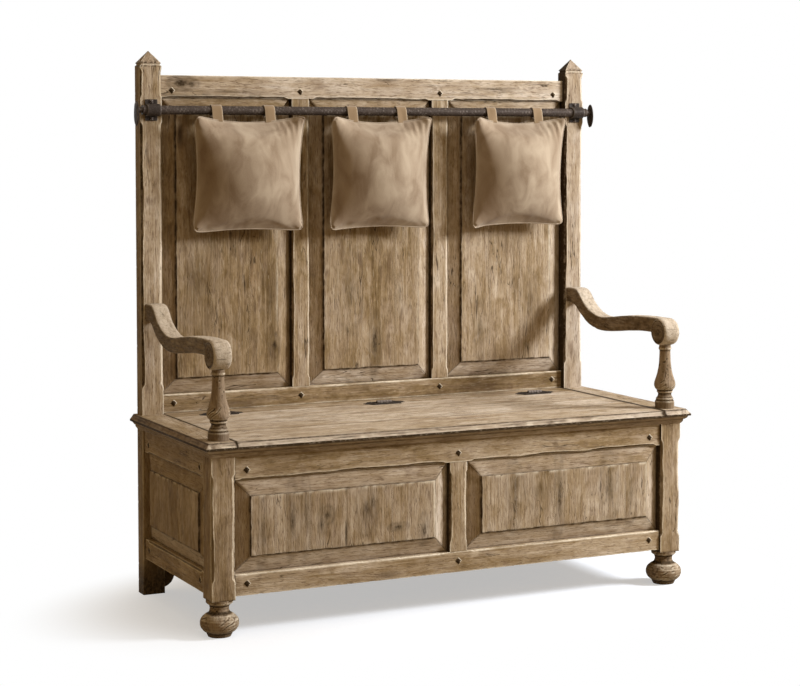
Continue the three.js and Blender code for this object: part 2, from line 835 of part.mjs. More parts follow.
// A loop of strap seen from its side: round the rod, and down to a foot on the cushion's seam.
// foot is the middle of that end.
function loopOutline(radius, foot, halfFoot) {
  const towards = Math.atan2(foot[1], foot[0]);
  const spread = Math.acos(radius / Math.hypot(...foot));
  const arc = Array.from({ length: ironSides + 1 }, (_, k) => {
    const angle = towards + spread + (2 * Math.PI - 2 * spread) * k / ironSides;
    return [radius * Math.cos(angle), radius * Math.sin(angle)];
  });
  return [[foot[0] - halfFoot, foot[1]], [foot[0] + halfFoot, foot[1]], ...arc];
}

function cushionLoop(place) {
  const outerEdge = Math.max(...[-1, 1].map((side) => Math.abs(place - cushionShift + side * loopWidth / 2)));
  const seam = seamPoint(outerEdge);
  const foot = [seam[0], seam[1] + clearance];
  const inner = rodRadius + clearance;
  const holeShare = 1 - 2 * loopThickness / Math.hypot(...foot);
  const outer = loopOutline(inner + loopThickness, foot, loopThickness / 2);
  const hole = loopOutline(inner, foot.map((value) => value * holeShare), clearance);
  return pulled(outer, place - loopWidth / 2, place + loopWidth / 2, (y, z, x) => [x, y, z], [hole]);
}

function hangCushion(name, share) {
  const hanger = new THREE.Group();
  hanger.position.set(share * postInner, rodY, rodZ);
  const leaning = new THREE.Group();
  leaning.position.set(cushionShift, cushionY, cushionZ);
  leaning.rotation.x = cushionTilt;
  hanger.add(leaning);
  add(`${name}_cushion`, cushion(), suede, leaning);
  add(`${name}_cushion_loop_left`, cushionLoop(-loopSpread), suede, hanger);
  add(`${name}_cushion_loop_right`, cushionLoop(loopSpread), suede, hanger);
  bench.add(hanger);
}

// Assembly
addPair('rear_post', rearPost(), oak);
addPair('front_leg', frontLeg(), oak);
addPair('bun_foot', bunFoot(), oak);
addPair('rear_bracket', rearBracket(), oak);

add('back_top_rail', backTopRail(), oak);
add('back_seat_rail', backSeatRail(), oak);
add('back_muntin_left', backMuntin(backOpenings[0]), oak);
add('back_muntin_right', backMuntin(backOpenings[1]), oak);
['left', 'centre', 'right'].forEach((side, k) => {
  add(`back_panel_${side}`, raisedPanel(backOpenings[k], backPlace), oak);
});

add('front_top_rail', frontTopRail(), oak);
add('front_bottom_rail', frontBottomRail(), oak);
add('front_muntin', frontMuntin(), oak);
['left', 'right'].forEach((side, k) => {
  add(`front_panel_${side}`, raisedPanel(frontOpenings[k], frontPlace), oak);
});
addPair('side_top_rail', sideTopRail(), oak);
addPair('side_bottom_rail', sideBottomRail(), oak);
addPair('side_panel', raisedPanel(sideOpenings[0], sidePlace), oak);
add('box_back_rail', boxBackRail(), oak);
add('box_back_panel', boxBackPanel(), oak);
add('chest_floor', chestFloor(), oak);

addPair('top_end', topEnd(), oak);
add('top_back_strip', topBackStrip(), oak);
add('moulding_front', mouldingFront(), oak);
addPair('moulding_side', mouldingSide(), oak);
add('lid', lid(), oak);
add('lid_batten_left', lidBatten(-1), oak);
add('lid_batten_right', lidBatten(1), oak);

addPair('arm', arm(), oak);
addPair('arm_baluster', armBaluster(), oak);

const hingePlace = postInner - hingeInset;
['left', 'centre', 'right'].forEach((side, k) => {
  add(`hinge_fixed_leaf_${side}`, hingeLeaf((k - 1) * hingePlace, 1), iron);
  add(`hinge_lid_leaf_${side}`, hingeLeaf((k - 1) * hingePlace, -1), iron);
});

add('hanging_rod', hangingRod(), iron);
addPair('rod_bracket', rodBracket(), iron);
['left', 'centre', 'right'].forEach((side, k) => hangCushion(side, cushionPlaceShares[k]));

// The origin is on the floor, under the middle of the whole bench.
bench.position.y = (noseOverhang - bodyDepth) / 2;

export default bench;
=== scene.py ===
# %% [markdown]
# The settle bench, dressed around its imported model.
# A settle is a framed oak chest with a tall panelled back. Every board of this one was hewn,
# waxed and worn, so each piece is made again here as a surface on a fine grid, in the place
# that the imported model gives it. The model's own nodes are then hidden behind the new pieces.

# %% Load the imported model
from itertools import product
from math import cos, pi, radians, sin

import bpy
import numpy as np
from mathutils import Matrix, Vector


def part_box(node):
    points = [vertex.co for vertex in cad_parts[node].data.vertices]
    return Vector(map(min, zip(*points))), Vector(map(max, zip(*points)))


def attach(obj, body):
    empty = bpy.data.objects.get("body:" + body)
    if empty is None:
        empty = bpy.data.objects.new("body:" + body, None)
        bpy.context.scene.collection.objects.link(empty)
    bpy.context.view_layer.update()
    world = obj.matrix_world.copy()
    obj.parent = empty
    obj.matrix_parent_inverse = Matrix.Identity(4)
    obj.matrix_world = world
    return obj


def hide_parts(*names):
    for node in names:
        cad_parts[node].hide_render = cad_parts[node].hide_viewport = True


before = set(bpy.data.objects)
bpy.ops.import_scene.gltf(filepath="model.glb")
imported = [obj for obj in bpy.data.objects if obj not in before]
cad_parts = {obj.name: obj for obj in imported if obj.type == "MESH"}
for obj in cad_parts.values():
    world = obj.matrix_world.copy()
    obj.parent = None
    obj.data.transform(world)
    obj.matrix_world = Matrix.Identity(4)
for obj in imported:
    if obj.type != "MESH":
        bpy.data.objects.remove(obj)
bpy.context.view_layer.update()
mm = 0.001

# %% [markdown]
# The camera stands in front of the left corner, a little above the seat, and looks slightly
# down. Its place was worked out from the corners of the frame in the photograph. A small shift
# of the lens lets it look almost level, so that the posts stay upright and the feet still show.

# %% Camera
CAMERA_PLACE = (-2.39817, -4.80077, 1.25271)
CAMERA_TURN = 0.45649
CAMERA_DIP = 0.05575
CAMERA_LENS = 87.63
CAMERA_SHIFT = -0.12


def stand(name, data):
    """Puts new data into the scene as an object at the origin."""
    item = bpy.data.objects.new(name, data)
    bpy.context.scene.collection.objects.link(item)
    return item


camera_data = bpy.data.cameras.new("camera")
camera_data.lens = CAMERA_LENS
camera_data.shift_y = CAMERA_SHIFT
camera = stand("camera", camera_data)
camera.location = CAMERA_PLACE
camera.rotation_euler = (pi / 2 - CAMERA_DIP, 0, -CAMERA_TURN)
bpy.context.scene.camera = camera
print("camera lens", CAMERA_LENS, "mm")

# %% [markdown]
# Colours are written as a web page writes them, in sRGB. A shader works in linear light, so one
# function turns a hex value into linear numbers. Another small function adds a node, sets its
# settings and fills or links its sockets, which keeps each finish readable from top to bottom.

# %% Colours and nodes
MIXED = 2
FACTOR, FIRST, SECOND = 0, 6, 7


def linear(code):
    """Each channel of an sRGB hex colour, turned to linear light by the sRGB curve."""
    value = np.array([int(code[k:k + 2], 16) for k in (1, 3, 5)]) / 255
    low = value / 12.92
    high = ((value + 0.055) / 1.055) ** 2.4
    return (*np.where(value <= 0.04045, low, high).tolist(), 1.0)


def add(tree, kind, sockets=None, **settings):
    """Adds one node. settings are its own properties, sockets its inputs by name or number. An
    input takes a plain value or an output to link. A node stands for its first output."""
    node = tree.nodes.new("ShaderNode" + kind)
    for name, value in settings.items():
        setattr(node, name, value)
    for name, value in (sockets or {}).items():
        if isinstance(value, bpy.types.Node):
            value = value.outputs[0]
        if isinstance(value, bpy.types.NodeSocket):
            tree.links.new(value, node.inputs[name])
        else:
            node.inputs[name].default_value = value
    return node


print("mid oak in linear light:", np.round(linear("#B39C7A"), 3))

# %% [markdown]
# Every finish begins and ends alike. It begins with an empty tree. Coats of colour are laid over
# a base one by one, as wax and dirt are on the real surface. At the end the colour, a small
# relief and the shine meet in one shader.

# %% Steps of a finish
def new_material(name):
    """An empty node tree with only its output in it."""
    material = bpy.data.materials.new(name)
    material.use_nodes = True
    material.node_tree.nodes.clear()
    output = add(material.node_tree, "OutputMaterial")
    return material, material.node_tree, output


def coated(tree, base, coats):
    """Lays each colour over what is below it, as thickly as its factor says."""
    for factor, code in coats:
        base = add(tree, "Mix", {FACTOR: factor, FIRST: base, SECOND: linear(code)},
                   data_type="RGBA").outputs[MIXED]
    return base


def surfaced(tree, output, base, height, strength, depth, shine):
    """Bends the light by a height pattern that is depth deep, and ends in one shader."""
    relief = add(tree, "Bump", {"Height": height, "Strength": strength, "Distance": depth})
    shader = add(tree, "BsdfPrincipled", {"Base Color": base, "Normal": relief, **shine})
    tree.links.new(shader.outputs[0], output.inputs["Surface"])


print("finish helpers ready")

# %% [markdown]
# Two soft square lamps light the bench. The strong one stands high on the right, in front of the
# bench, so that faces which look left fall into shade. A wide weak one hangs above. The world
# fills the shade evenly. The camera sees the world as white. The floor is white too, and adds a
# little light for the camera alone, so that it meets the background without a line and still
# keeps the shadows of the feet.

# %% Lamps
KEY_PLACE = (3.6, -2.0, 2.5)
KEY_AIM = (0.0, 0.0, 0.7)
KEY_SIZE = 1.1
KEY_POWER = 330
TOP_PLACE = (0.0, -0.8, 3.6)
TOP_SIZE = 2.4
TOP_POWER = 24


def lamp(name, place, size, power, colour):
    """A square area lamp at a place, turned towards the middle of the bench."""
    data = bpy.data.lights.new(name, "AREA")
    data.size = size
    data.energy = power
    data.color = linear(colour)[:3]
    item = stand(name, data)
    item.location = place
    way = np.subtract(KEY_AIM, place)
    flat = np.hypot(way[0], way[1])
    item.rotation_euler = (np.arctan2(flat, -way[2]), 0, np.arctan2(-way[0], way[1]))


lamp("key_lamp", KEY_PLACE, KEY_SIZE, KEY_POWER, "#F6FAFF")
lamp("top_lamp", TOP_PLACE, TOP_SIZE, TOP_POWER, "#FFFFFF")
print("lamps:", KEY_POWER, "W and", TOP_POWER, "W")

# %% World and floor
WORLD_STRENGTH = 0.32
FLOOR_HALF = 9.0
FLOOR_LIFT = 0.47
FLOOR_REACH = (1.0, 0.6, 1.0)
FLOOR_FADE = (0.72, 1.15)
WHITE = (1, 1, 1, 1)


def background_rays(tree):
    """1 for rays that show the background: to the camera, off a gloss or through glass."""
    path = add(tree, "LightPath")
    seen = path.outputs["Is Camera Ray"]
    for title in ("Is Glossy Ray", "Is Transmission Ray"):
        seen = add(tree, "Math", {0: seen, 1: path.outputs[title]}, operation="MAXIMUM")
    return seen


world = bpy.data.worlds.new("studio")
bpy.context.scene.world = world
world.use_nodes = True
tree = world.node_tree
tree.nodes.clear()
plain = add(tree, "Background", {"Color": linear("#FFD68E"), "Strength": WORLD_STRENGTH})
white = add(tree, "Background", {"Color": WHITE, "Strength": 1})
both = add(tree, "MixShader", {0: background_rays(tree), 1: plain, 2: white})
add(tree, "OutputWorld", {"Surface": both})

floor_white, tree, output = new_material("painted_floor")
spot = add(tree, "TexCoord").outputs["Object"]
share = add(tree, "VectorMath", {0: spot, 1: FLOOR_REACH}, operation="DIVIDE")
share = add(tree, "VectorMath", {0: share}, operation="LENGTH").outputs["Value"]
away = add(tree, "MapRange", {"Value": share, 1: FLOOR_FADE[0], 2: FLOOR_FADE[1]},
           interpolation_type="SMOOTHSTEP")
dull = add(tree, "BsdfDiffuse", {"Color": linear("#A39680")})
pale = add(tree, "BsdfDiffuse", {"Color": linear("#C4C7CD")})
lift = add(tree, "Emission", {"Color": WHITE, "Strength": FLOOR_LIFT})
near = add(tree, "AddShader", {0: pale, 1: lift})
far = add(tree, "Emission", {"Color": WHITE, "Strength": 1})
shown = add(tree, "MixShader", {0: away, 1: near, 2: far})
both = add(tree, "MixShader", {0: background_rays(tree), 1: dull, 2: shown})
tree.links.new(both.outputs[0], output.inputs["Surface"])

corners = [(x * FLOOR_HALF, y * FLOOR_HALF, 0) for x, y in ((-1, -1), (1, -1), (1, 1), (-1, 1))]
floor_mesh = bpy.data.meshes.new("floor")
floor_mesh.from_pydata(corners, [], [(0, 1, 2, 3)])
floor_mesh.materials.append(floor_white)
floor = stand("floor", floor_mesh)
view_settings = bpy.context.scene.view_settings
view_settings.view_transform = "Standard"
print("floor:", 2 * FLOOR_HALF, "m wide")

# %% [markdown]
# The wood is English oak, hewn and planed by hand, then limed, waxed and worn. What the eye
# reads is long soft streaks along the grain, short dark pores, a few checks and knots, dark wax
# left in the corners and pale edges where hands have rubbed. Some dark and pale marks are
# painted light: painted shade on faces that turn from the lamp, and painted highlights on those
# that face it. Each piece carries five things at every point: where the point lies along and
# across the grain, how pale it is from wear and painted highlight, how dark it is from wax, dirt
# and painted shade, how light its board is, on some pieces with painted light in it, and how grey
# it has gone. The finish reads these, so the grain follows each board and turns at each joint as
# it does on a real frame.

# %% Oak
OAK_TONES = [(0.0, "#46361F"), (0.28, "#6E5837"), (0.42, "#8E7756"), (0.54, "#A38E72"),
             (0.66, "#B8A58D"), (0.8, "#CCBCA8"), (1.0, "#E0D6C8")]
OAK_PATTERNS = {
    # name: length along the grain, width across it, detail, distortion
    "tone": (420 * mm, 150 * mm, 2, 0.0),
    "figure": (340 * mm, 24 * mm, 4, 1.2),
    "blotch": (80 * mm, 40 * mm, 3, 1.0),
    "streak": (150 * mm, 4.6 * mm, 2, 0.15),
    "smudge": (70 * mm, 24 * mm, 4, 1.0),
    "fleck": (26 * mm, 4.0 * mm, 3, 0.5),
    "pores": (20 * mm, 2.5 * mm, 2, 0.2),
    "checks": (240 * mm, 24 * mm, 3, 0.5),
    "gate": (230 * mm, 60 * mm, 1, 0.0),
    "speckle": (9 * mm, 6 * mm, 2, 0.0),
    "silver": (130 * mm, 34 * mm, 3, 0.5),
}
OAK_WEIGHTS = {"tone": 0.42, "figure": 0.42, "blotch": 0.56, "streak": 0.3, "speckle": 0.14}
OAK_MARKS = {
    # name: its pattern, the value where it starts, the value where it is full, its strength
    "pore": ("pores", 0.56, 0.68, 0.6),
    "smudge": ("smudge", 0.57, 0.76, 0.65),
    "dull_fleck": ("fleck", 0.43, 0.30, 0.38),
    "pale_fleck": ("fleck", 0.58, 0.70, 0.2),
    "gate": ("gate", 0.53, 0.60, 0.85),
    "silver": ("silver", 0.46, 0.66, 0.35),
}
KNOT_CELL = (420 * mm, 105 * mm)
KNOT_BOW = 16 * mm
KNOT_DARK = 0.8
HALO_DARK = 0.45
GREYED = 0.62


def oak_finish(name, from_attribute):
    """Waxed oak. The grain comes from the board's own attribute, or from Object coordinates."""
    material, tree, output = new_material(name)
    if from_attribute:
        grain = add(tree, "Attribute", attribute_name="grain").outputs["Vector"]
        wear_and_highlight, grime_and_shade, tint, grey = [add(tree, "Attribute", attribute_name=title).outputs["Fac"]
                                 for title in ("wear_and_highlight", "grime_and_shade", "tint", "grey")]
    else:
        grain = add(tree, "TexCoord").outputs["Object"]

    # Knots are rare cells of a cell pattern. The streaks bow round them.
    spread = (1 / KNOT_CELL[0], 1 / KNOT_CELL[1], 1 / KNOT_CELL[1])
    place = add(tree, "Mapping", {"Vector": grain, "Scale": spread})
    cells = add(tree, "TexVoronoi", {"Vector": place, "Scale": 1.0, "Randomness": 0.9})
    picked = add(tree, "SeparateColor", {"Color": cells.outputs["Color"]})
    rare = add(tree, "MapRange", {"Value": picked, 1: 0.70, 2: 0.74})
    near = add(tree, "MapRange", {"Value": cells, 1: 0.02, 2: 0.34, 3: 1.0, 4: 0.0})
    swirl = add(tree, "Math", {0: near, 1: rare}, operation="MULTIPLY")
    bow = add(tree, "Math", {0: swirl, 1: KNOT_BOW}, operation="MULTIPLY")
    push = add(tree, "CombineXYZ", {"Y": bow, "Z": bow})
    bowed = add(tree, "VectorMath", {0: grain, 1: push}, operation="ADD")

    found = {}
    for title, (along, across, detail, distortion) in OAK_PATTERNS.items():
        place = add(tree, "Mapping", {"Vector": bowed, "Scale": (1 / along, 1 / across, 1 / across)})
        noise_node = add(tree, "TexNoise", {"Vector": place, "Scale": 1.0, "Detail": detail,
                                            "Distortion": distortion})
        found[title] = noise_node.outputs["Fac"]
    mark = {title: add(tree, "MapRange", {"Value": found[pattern], 1: start, 2: full, 4: strength})
            for title, (pattern, start, full, strength) in OAK_MARKS.items()}

    # The tone is the middle of the ramp, moved by each pattern's distance from its own middle.
    total = 0.5 - 0.5 * sum(OAK_WEIGHTS.values())
    for title, weight in OAK_WEIGHTS.items():
        total = add(tree, "Math", {0: found[title], 1: weight, 2: total}, operation="MULTIPLY_ADD")
    silver = mark["silver"]
    if from_attribute:
        total = add(tree, "Math", {0: total, 1: tint}, operation="ADD")
        silver = add(tree, "Math", {0: silver, 1: grey}, operation="ADD", use_clamp=True)
    tones = add(tree, "ValToRGB", {"Fac": total})
    stops = tones.color_ramp.elements
    for stop, (position, code) in zip(stops, (OAK_TONES[0], OAK_TONES[-1])):
        stop.position = position
        stop.color = linear(code)
    for position, code in OAK_TONES[1:-1]:
        stops.new(position).color = linear(code)
    muted = coated(tree, tones, [(GREYED, "#8F7E70")])
    base = add(tree, "Mix", {FACTOR: silver, FIRST: tones, SECOND: muted},
               data_type="RGBA").outputs[MIXED]

    # A check is a thin line where its pattern crosses its middle, shown only in gated places.
    off = add(tree, "Math", {0: found["checks"], 1: 0.5}, operation="SUBTRACT")
    off = add(tree, "Math", {0: off}, operation="ABSOLUTE")
    line = add(tree, "MapRange", {"Value": off, 1: 0.002, 2: 0.012, 3: 1.0, 4: 0.0})
    check = add(tree, "Math", {0: line, 1: mark["gate"]}, operation="MULTIPLY")
    core = add(tree, "MapRange", {"Value": cells, 1: 0.03, 2: 0.12, 3: KNOT_DARK, 4: 0.0})
    knot = add(tree, "Math", {0: core, 1: rare}, operation="MULTIPLY")
    halo = add(tree, "Math", {0: swirl, 1: HALO_DARK}, operation="MULTIPLY")
    coats = [(mark["smudge"], "#6A5440"), (mark["pore"], "#66503A"), (mark["dull_fleck"], "#634F38"),
             (mark["pale_fleck"], "#D3C5AC"), (halo, "#856A4A"), (check, "#3A2C1C"),
             (knot, "#3B2B1C")]
    if from_attribute:
        broken = add(tree, "MapRange", {"Value": found["speckle"], 1: 0.3, 2: 0.62, 3: 0.84, 4: 1.4})
        # The pale coat is wear, and on some pieces a painted highlight. The dark coat is wax and dirt, and
        # on some pieces a painted shade.
        for coat, code in ((wear_and_highlight, "#E2D5BF"), (grime_and_shade, "#382A18")):
            coat = add(tree, "Math", {0: coat, 1: broken}, operation="MULTIPLY", use_clamp=True)
            coats.append((coat, code))
    base = coated(tree, base, coats)

    rough = add(tree, "MapRange", {"Value": found["streak"], 1: 0.3, 2: 0.7, 3: 0.66, 4: 0.86})
    height = add(tree, "Math", {0: found["streak"], 1: 0.8, 2: found["fleck"]},
                 operation="MULTIPLY_ADD")
    for sunk in (mark["pore"], check):
        height = add(tree, "Math", {0: height, 1: sunk}, operation="SUBTRACT")
    surfaced(tree, output, base, height, 0.7, 1.1 * mm,
             {"Roughness": rough, "IOR": 1.5, "Specular IOR Level": 0.1})
    return material


oak = oak_finish("waxed_oak", True)
plain_oak = oak_finish("sawn_oak", False)
print("oak finishes:", oak.name, plain_oak.name)

# %% [markdown]
# The rod, its brackets and the hinges are wrought iron, forged by hand and blackened in oil.
# The hammer leaves small facets, the edges rub bright, soot stays where no hand reaches, and old
# scale gives a purple-brown cast. Pale specks on the facets are painted glints.

# %% Iron
IRON_FACET = 7 * mm
IRON_GRIT = 1.6 * mm
IRON_CLOUD = 38 * mm
iron, tree, output = new_material("wrought_iron")
spot = add(tree, "TexCoord").outputs["Object"]
wear_and_highlight, soot = [add(tree, "Attribute", attribute_name=title).outputs["Fac"] for title in ("wear_and_highlight", "grime_and_shade")]
facets = add(tree, "TexVoronoi", {"Vector": spot, "Scale": 1 / IRON_FACET}, feature="SMOOTH_F1")
grit = add(tree, "TexNoise", {"Vector": spot, "Scale": 1 / IRON_GRIT, "Detail": 2}).outputs["Fac"]
cloud = add(tree, "TexNoise", {"Vector": spot, "Scale": 1 / IRON_CLOUD, "Detail": 3}).outputs["Fac"]
# Pale specks where the fine grit pattern is high: painted glints of the hammered facets.
painted_glint = add(tree, "MapRange", {"Value": grit, 1: 0.56, 2: 0.70, 4: 0.55})
base = coated(tree, linear("#28211D"), [(cloud, "#4C4139"), (painted_glint, "#85766E"), (wear_and_highlight, "#B4A79C"),
                                        (soot, "#0E0A08")])
rough = add(tree, "MapRange", {"Value": cloud, 1: 0.3, 2: 0.7, 3: 0.42, 4: 0.62})
height = add(tree, "Math", {0: grit, 1: 0.35, 2: facets}, operation="MULTIPLY_ADD")
surfaced(tree, output, base, height, 0.6, 0.8 * mm,
         {"Metallic": 0.1, "Specular IOR Level": 0.08, "Roughness": rough})
print("iron finish:", iron.name)

# %% [markdown]
# The cushions are suede, the split side of a hide. Its nap is brushed in patches, which gives a
# soft mottled tone, and it takes light at its edges, so the shader has sheen and no gloss.

# %% Suede
NAP_PATCH = 46 * mm
NAP_GRAIN = 2.4 * mm


def suede_finish(name, dark, light, edge):
    """Brushed hide between two tones, with a third on worn folds and seams."""
    material, tree, output = new_material(name)
    spot = add(tree, "TexCoord").outputs["Object"]
    wear_and_highlight, grime_and_shade = [add(tree, "Attribute", attribute_name=title).outputs["Fac"]
                 for title in ("wear_and_highlight", "grime_and_shade")]
    brushed = add(tree, "Mapping", {"Vector": spot, "Scale": (1 / NAP_PATCH, 1 / NAP_PATCH,
                                                             0.45 / NAP_PATCH)})
    patch = add(tree, "TexNoise", {"Vector": brushed, "Scale": 1.0, "Detail": 5, "Distortion": 0.6})
    grain = add(tree, "TexNoise", {"Vector": spot, "Scale": 1 / NAP_GRAIN, "Detail": 2})
    grain = grain.outputs["Fac"]
    tone = add(tree, "MapRange", {"Value": patch.outputs["Fac"], 1: 0.34, 2: 0.66, 4: 0.85})
    tone = add(tree, "Math", {0: grain, 1: 0.28, 2: tone}, operation="MULTIPLY_ADD", use_clamp=True)
    # The dark coat is dirt along the stitches, and on the cushions a painted shade on the left side of the
    # front.
    base = coated(tree, linear(dark), [(tone, light), (wear_and_highlight, edge), (grime_and_shade, "#6B4F33")])
    surfaced(tree, output, base, grain, 0.4, 0.5 * mm,
             {"Roughness": 0.92, "Specular IOR Level": 0.05, "Sheen Weight": 0.3,
              "Sheen Roughness": 0.45})
    return material


suede = suede_finish("brushed_suede", "#836F5A", "#AC9B86", "#C4B8A8")
strap_suede = suede_finish("strap_suede", "#7B664C", "#957E63", "#C2B29B")
print("suede finishes:", suede.name, strap_suede.name)

# %% [markdown]
# Every shape below is worked out on a grid of points. Slow random waves bend it a little, as a
# hand tool does. They come from a lattice of seeded random numbers, so each run is the same.

# %% Noise and spacing
LATTICE = 24


def noise(points, size, seed):
    """Smooth noise from -1 to 1: random numbers on a lattice, blended by a smooth step.
    size is the lattice spacing, as one length or one for each axis."""
    values = np.random.default_rng(seed).uniform(-1, 1, (LATTICE, LATTICE, LATTICE))
    scaled = points / np.broadcast_to(size, 3) + 0.37 * (seed % 17)
    cell = np.floor(scaled).astype(int)
    part = scaled - cell
    part = part * part * (3 - 2 * part)
    total = np.zeros(points.shape[:-1])
    for corner in product((0, 1), repeat=3):
        weight = np.prod(np.where(np.array(corner) == 1, part, 1 - part), axis=-1)
        index = (cell + corner) % LATTICE
        total += weight * values[index[..., 0], index[..., 1], index[..., 2]]
    return total


def waves(along, size, seed):
    """The same noise along a line."""
    along = np.asarray(along, float)
    points = np.stack([along, np.full_like(along, seed * mm), np.zeros_like(along)], -1)
    return noise(points, size, seed)


def spaced(length, step, close=(0.0, 1.3 * mm, 4 * mm)):
    """Places from 0 to a length: close together at both ends, about a step apart between."""
    if length < 3 * close[-1]:
        return np.linspace(0, length, 4)
    count = max(2, round((length - 2 * close[-1]) / step) + 1)
    middle = np.linspace(close[-1], length - close[-1], count)
    near = np.array(close[:-1])
    return np.concatenate([near, middle, length - near[::-1]])


def ramp(value, start, end):
    """A smooth step from 0 at start to 1 at end."""
    share = np.clip((value - start) / (end - start), 0, 1)
    return share * share * (3 - 2 * share)


def bell(value, middle, reach):
    """1 at the middle, falling on both sides: e to the minus square of the distance in reaches."""
    return np.exp(-((value - middle) / reach) ** 2)


def fade(distance, reach):
    """1 at no distance, falling by a factor of e with each reach."""
    return np.exp(-distance / reach)


def full_turn(count):
    """Even angles once round a circle. The last one stops short of the first."""
    return np.linspace(0, 2 * pi, count, endpoint=False)


def softened(values, window):
    """The running mean of an odd number of neighbours, with the end values held."""
    padded = np.pad(values, window // 2, mode="edge")
    return np.convolve(padded, np.ones(window) / window, mode="valid")


def deepen(values, title, *marks):
    """Raises one of a piece's stored values to the largest of some marks."""
    for mark in marks:
        values[title] = np.maximum(values[title], mark)


print("noise test:", np.round(waves([0.1, 0.2], 30 * mm, 3), 3))

# %% [markdown]
# Two kinds of grid cover all the solid pieces. A loft is a closed ring of points carried along a
# row, with a face over each end. A slab is two sheets of points, front and back, stitched
# together round the rim. Both end in one function, which turns the faces outwards by the sign
# of the volume, stores the attributes and hands the piece to its body.

# %% Mesh builders
SHARP_ANGLE = radians(38)
made = {}


def finish_piece(name, points, quads, caps, values, body, material, stands_for):
    """Puts points and faces into a mesh. A closed mesh is inside out if its volume is negative."""
    corner = points[quads]
    fans = [np.column_stack([np.full(len(cap) - 2, cap[0]), cap[1:-1], cap[2:]]) for cap in caps]
    volume = np.einsum("ij,ij", corner[:, 0], np.cross(corner[:, 1], corner[:, 2]))
    volume += np.einsum("ij,ij", corner[:, 0], np.cross(corner[:, 2], corner[:, 3]))
    for fan in fans:
        tip = points[fan]
        volume += np.einsum("ij,ij", tip[:, 0], np.cross(tip[:, 1], tip[:, 2]))
    if volume < 0:
        quads = quads[:, ::-1]
        caps = [cap[::-1] for cap in caps]
    mesh = bpy.data.meshes.new(name)
    mesh.from_pydata(points.tolist(), [], quads.tolist() + [cap.tolist() for cap in caps])
    for title, value in values.items():
        kind, key = ("FLOAT_VECTOR", "vector") if value.shape[-1] == 3 else ("FLOAT", "value")
        mesh.attributes.new(title, kind, "POINT").data.foreach_set(key, value.astype(float).ravel())
    mesh.polygons.foreach_set("use_smooth", [True] * len(mesh.polygons))
    mesh.set_sharp_from_angle(angle=SHARP_ANGLE)
    mesh.materials.append(material)
    mesh.update()
    item = stand(name, mesh)
    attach(item, body)
    if stands_for:
        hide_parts(*stands_for)
    made[name] = len(mesh.polygons)
    return item


def flat_values(values):
    """Attributes as flat lists of points, with a last axis of 1 or 3."""
    result = {}
    for title, value in values.items():
        wide = value.shape[-1] == 3 and value.ndim == 3
        result[title] = value.reshape(-1, 3) if wide else value.reshape(-1, 1)
    return result


def loft(name, rings, values, body="bench", material=oak, stands_for=(), closed=False):
    """A ring of points carried along rows. Each cell joins a point to the next one of its ring
    and of the next row. Open rows get a face over each end."""
    rows, count = rings.shape[:2]
    row, column = np.meshgrid(np.arange(rows if closed else rows - 1), np.arange(count), indexing="ij")
    after, below = (column + 1) % count, (row + 1) % rows
    quads = [row * count + column, row * count + after, below * count + after, below * count + column]
    quads = np.stack([part.ravel() for part in quads], -1)
    caps = [] if closed else [np.arange(count)[::-1], np.arange(count) + (rows - 1) * count]
    return finish_piece(name, rings.reshape(-1, 3), quads, caps, flat_values(values), body,
                        material, stands_for)


def slab(name, front, back, values, back_values, body="bench", material=oak, stands_for=(),
         turned=None):
    """Two sheets of rows and columns, joined round the rim. Cells marked in turned are
    split along their other diagonal, so that a mitre runs straight."""
    rows, count = front.shape[:2]
    row, column = np.meshgrid(np.arange(rows - 1), np.arange(count - 1), indexing="ij")
    first = row * count + column
    cells = np.stack([first, first + 1, first + count + 1, first + count], -1)
    if turned is not None:
        cells[turned] = np.roll(cells[turned], 1, axis=-1)
    cells = cells.reshape(-1, 4)
    other = rows * count
    rim = np.concatenate([np.arange(count), np.arange(1, rows) * count + count - 1,
                          (rows - 1) * count + np.arange(count - 2, -1, -1),
                          np.arange(rows - 2, 0, -1) * count])
    ahead = np.roll(rim, -1)
    sides = np.stack([ahead, rim, rim + other, ahead + other], -1)
    quads = np.concatenate([cells, cells[:, ::-1] + other, sides])
    points = np.concatenate([front.reshape(-1, 3), back.reshape(-1, 3)])
    near, far = flat_values(values), flat_values(back_values)
    joined = {title: np.concatenate([near[title], far[title]]) for title in near}
    return finish_piece(name, points, quads, [], joined, body, material, stands_for)


print("builders ready")

# %% [markdown]
# A timber is a rail, post, leg or muntin: a rectangle carried along its grain. Its edges are
# chamfered, and each chamfer stops short of the joints. On the real frame the chamfers are
# waney: they swell and shrink along the edge. So each corner has its own cut, which is a
# function of the place along the timber. The chamfers that look down or to the left, and some
# faces that look left, are painted dark: a painted shade, away from the lamp.

# %% Timbers
ARRIS = 0.8 * mm
CHAMFER_STOP = 20 * mm
CHAMFER_RUN = 14 * mm
STEP = 4.5 * mm
WAYS = np.array([(1, 0), (0, 1), (-1, 0), (0, -1)])
OUTWARD = np.array([(0, -1), (1, 0), (0, 1), (-1, 0)])
GRAIN_SHIFT = 1.7
LONG_WAVE = 96 * mm
SHORT_WAVE = 23 * mm
RIPPLE_ALONG = 90 * mm
RIPPLE_ACROSS = 24 * mm
CHIP_SIZE = 9 * mm
CHIP_DEPTH = 2.2 * mm
EDGE_REACH = 1.2 * mm
END_REACH = 1.6 * mm
WIDE_CUT = 4 * mm


def grain_place(points, axis, seed):
    """Where each point lies along the grain, across it and through the board."""
    order = [axis, (axis + 1) % 3, (axis + 2) % 3]
    shift = np.array([GRAIN_SHIFT * seed, 0.61 * seed, 0.37 * seed]) % 9
    return points[..., order] + shift


def node_box(node):
    """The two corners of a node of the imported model."""
    low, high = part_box(node)
    return np.array(low), np.array(high)


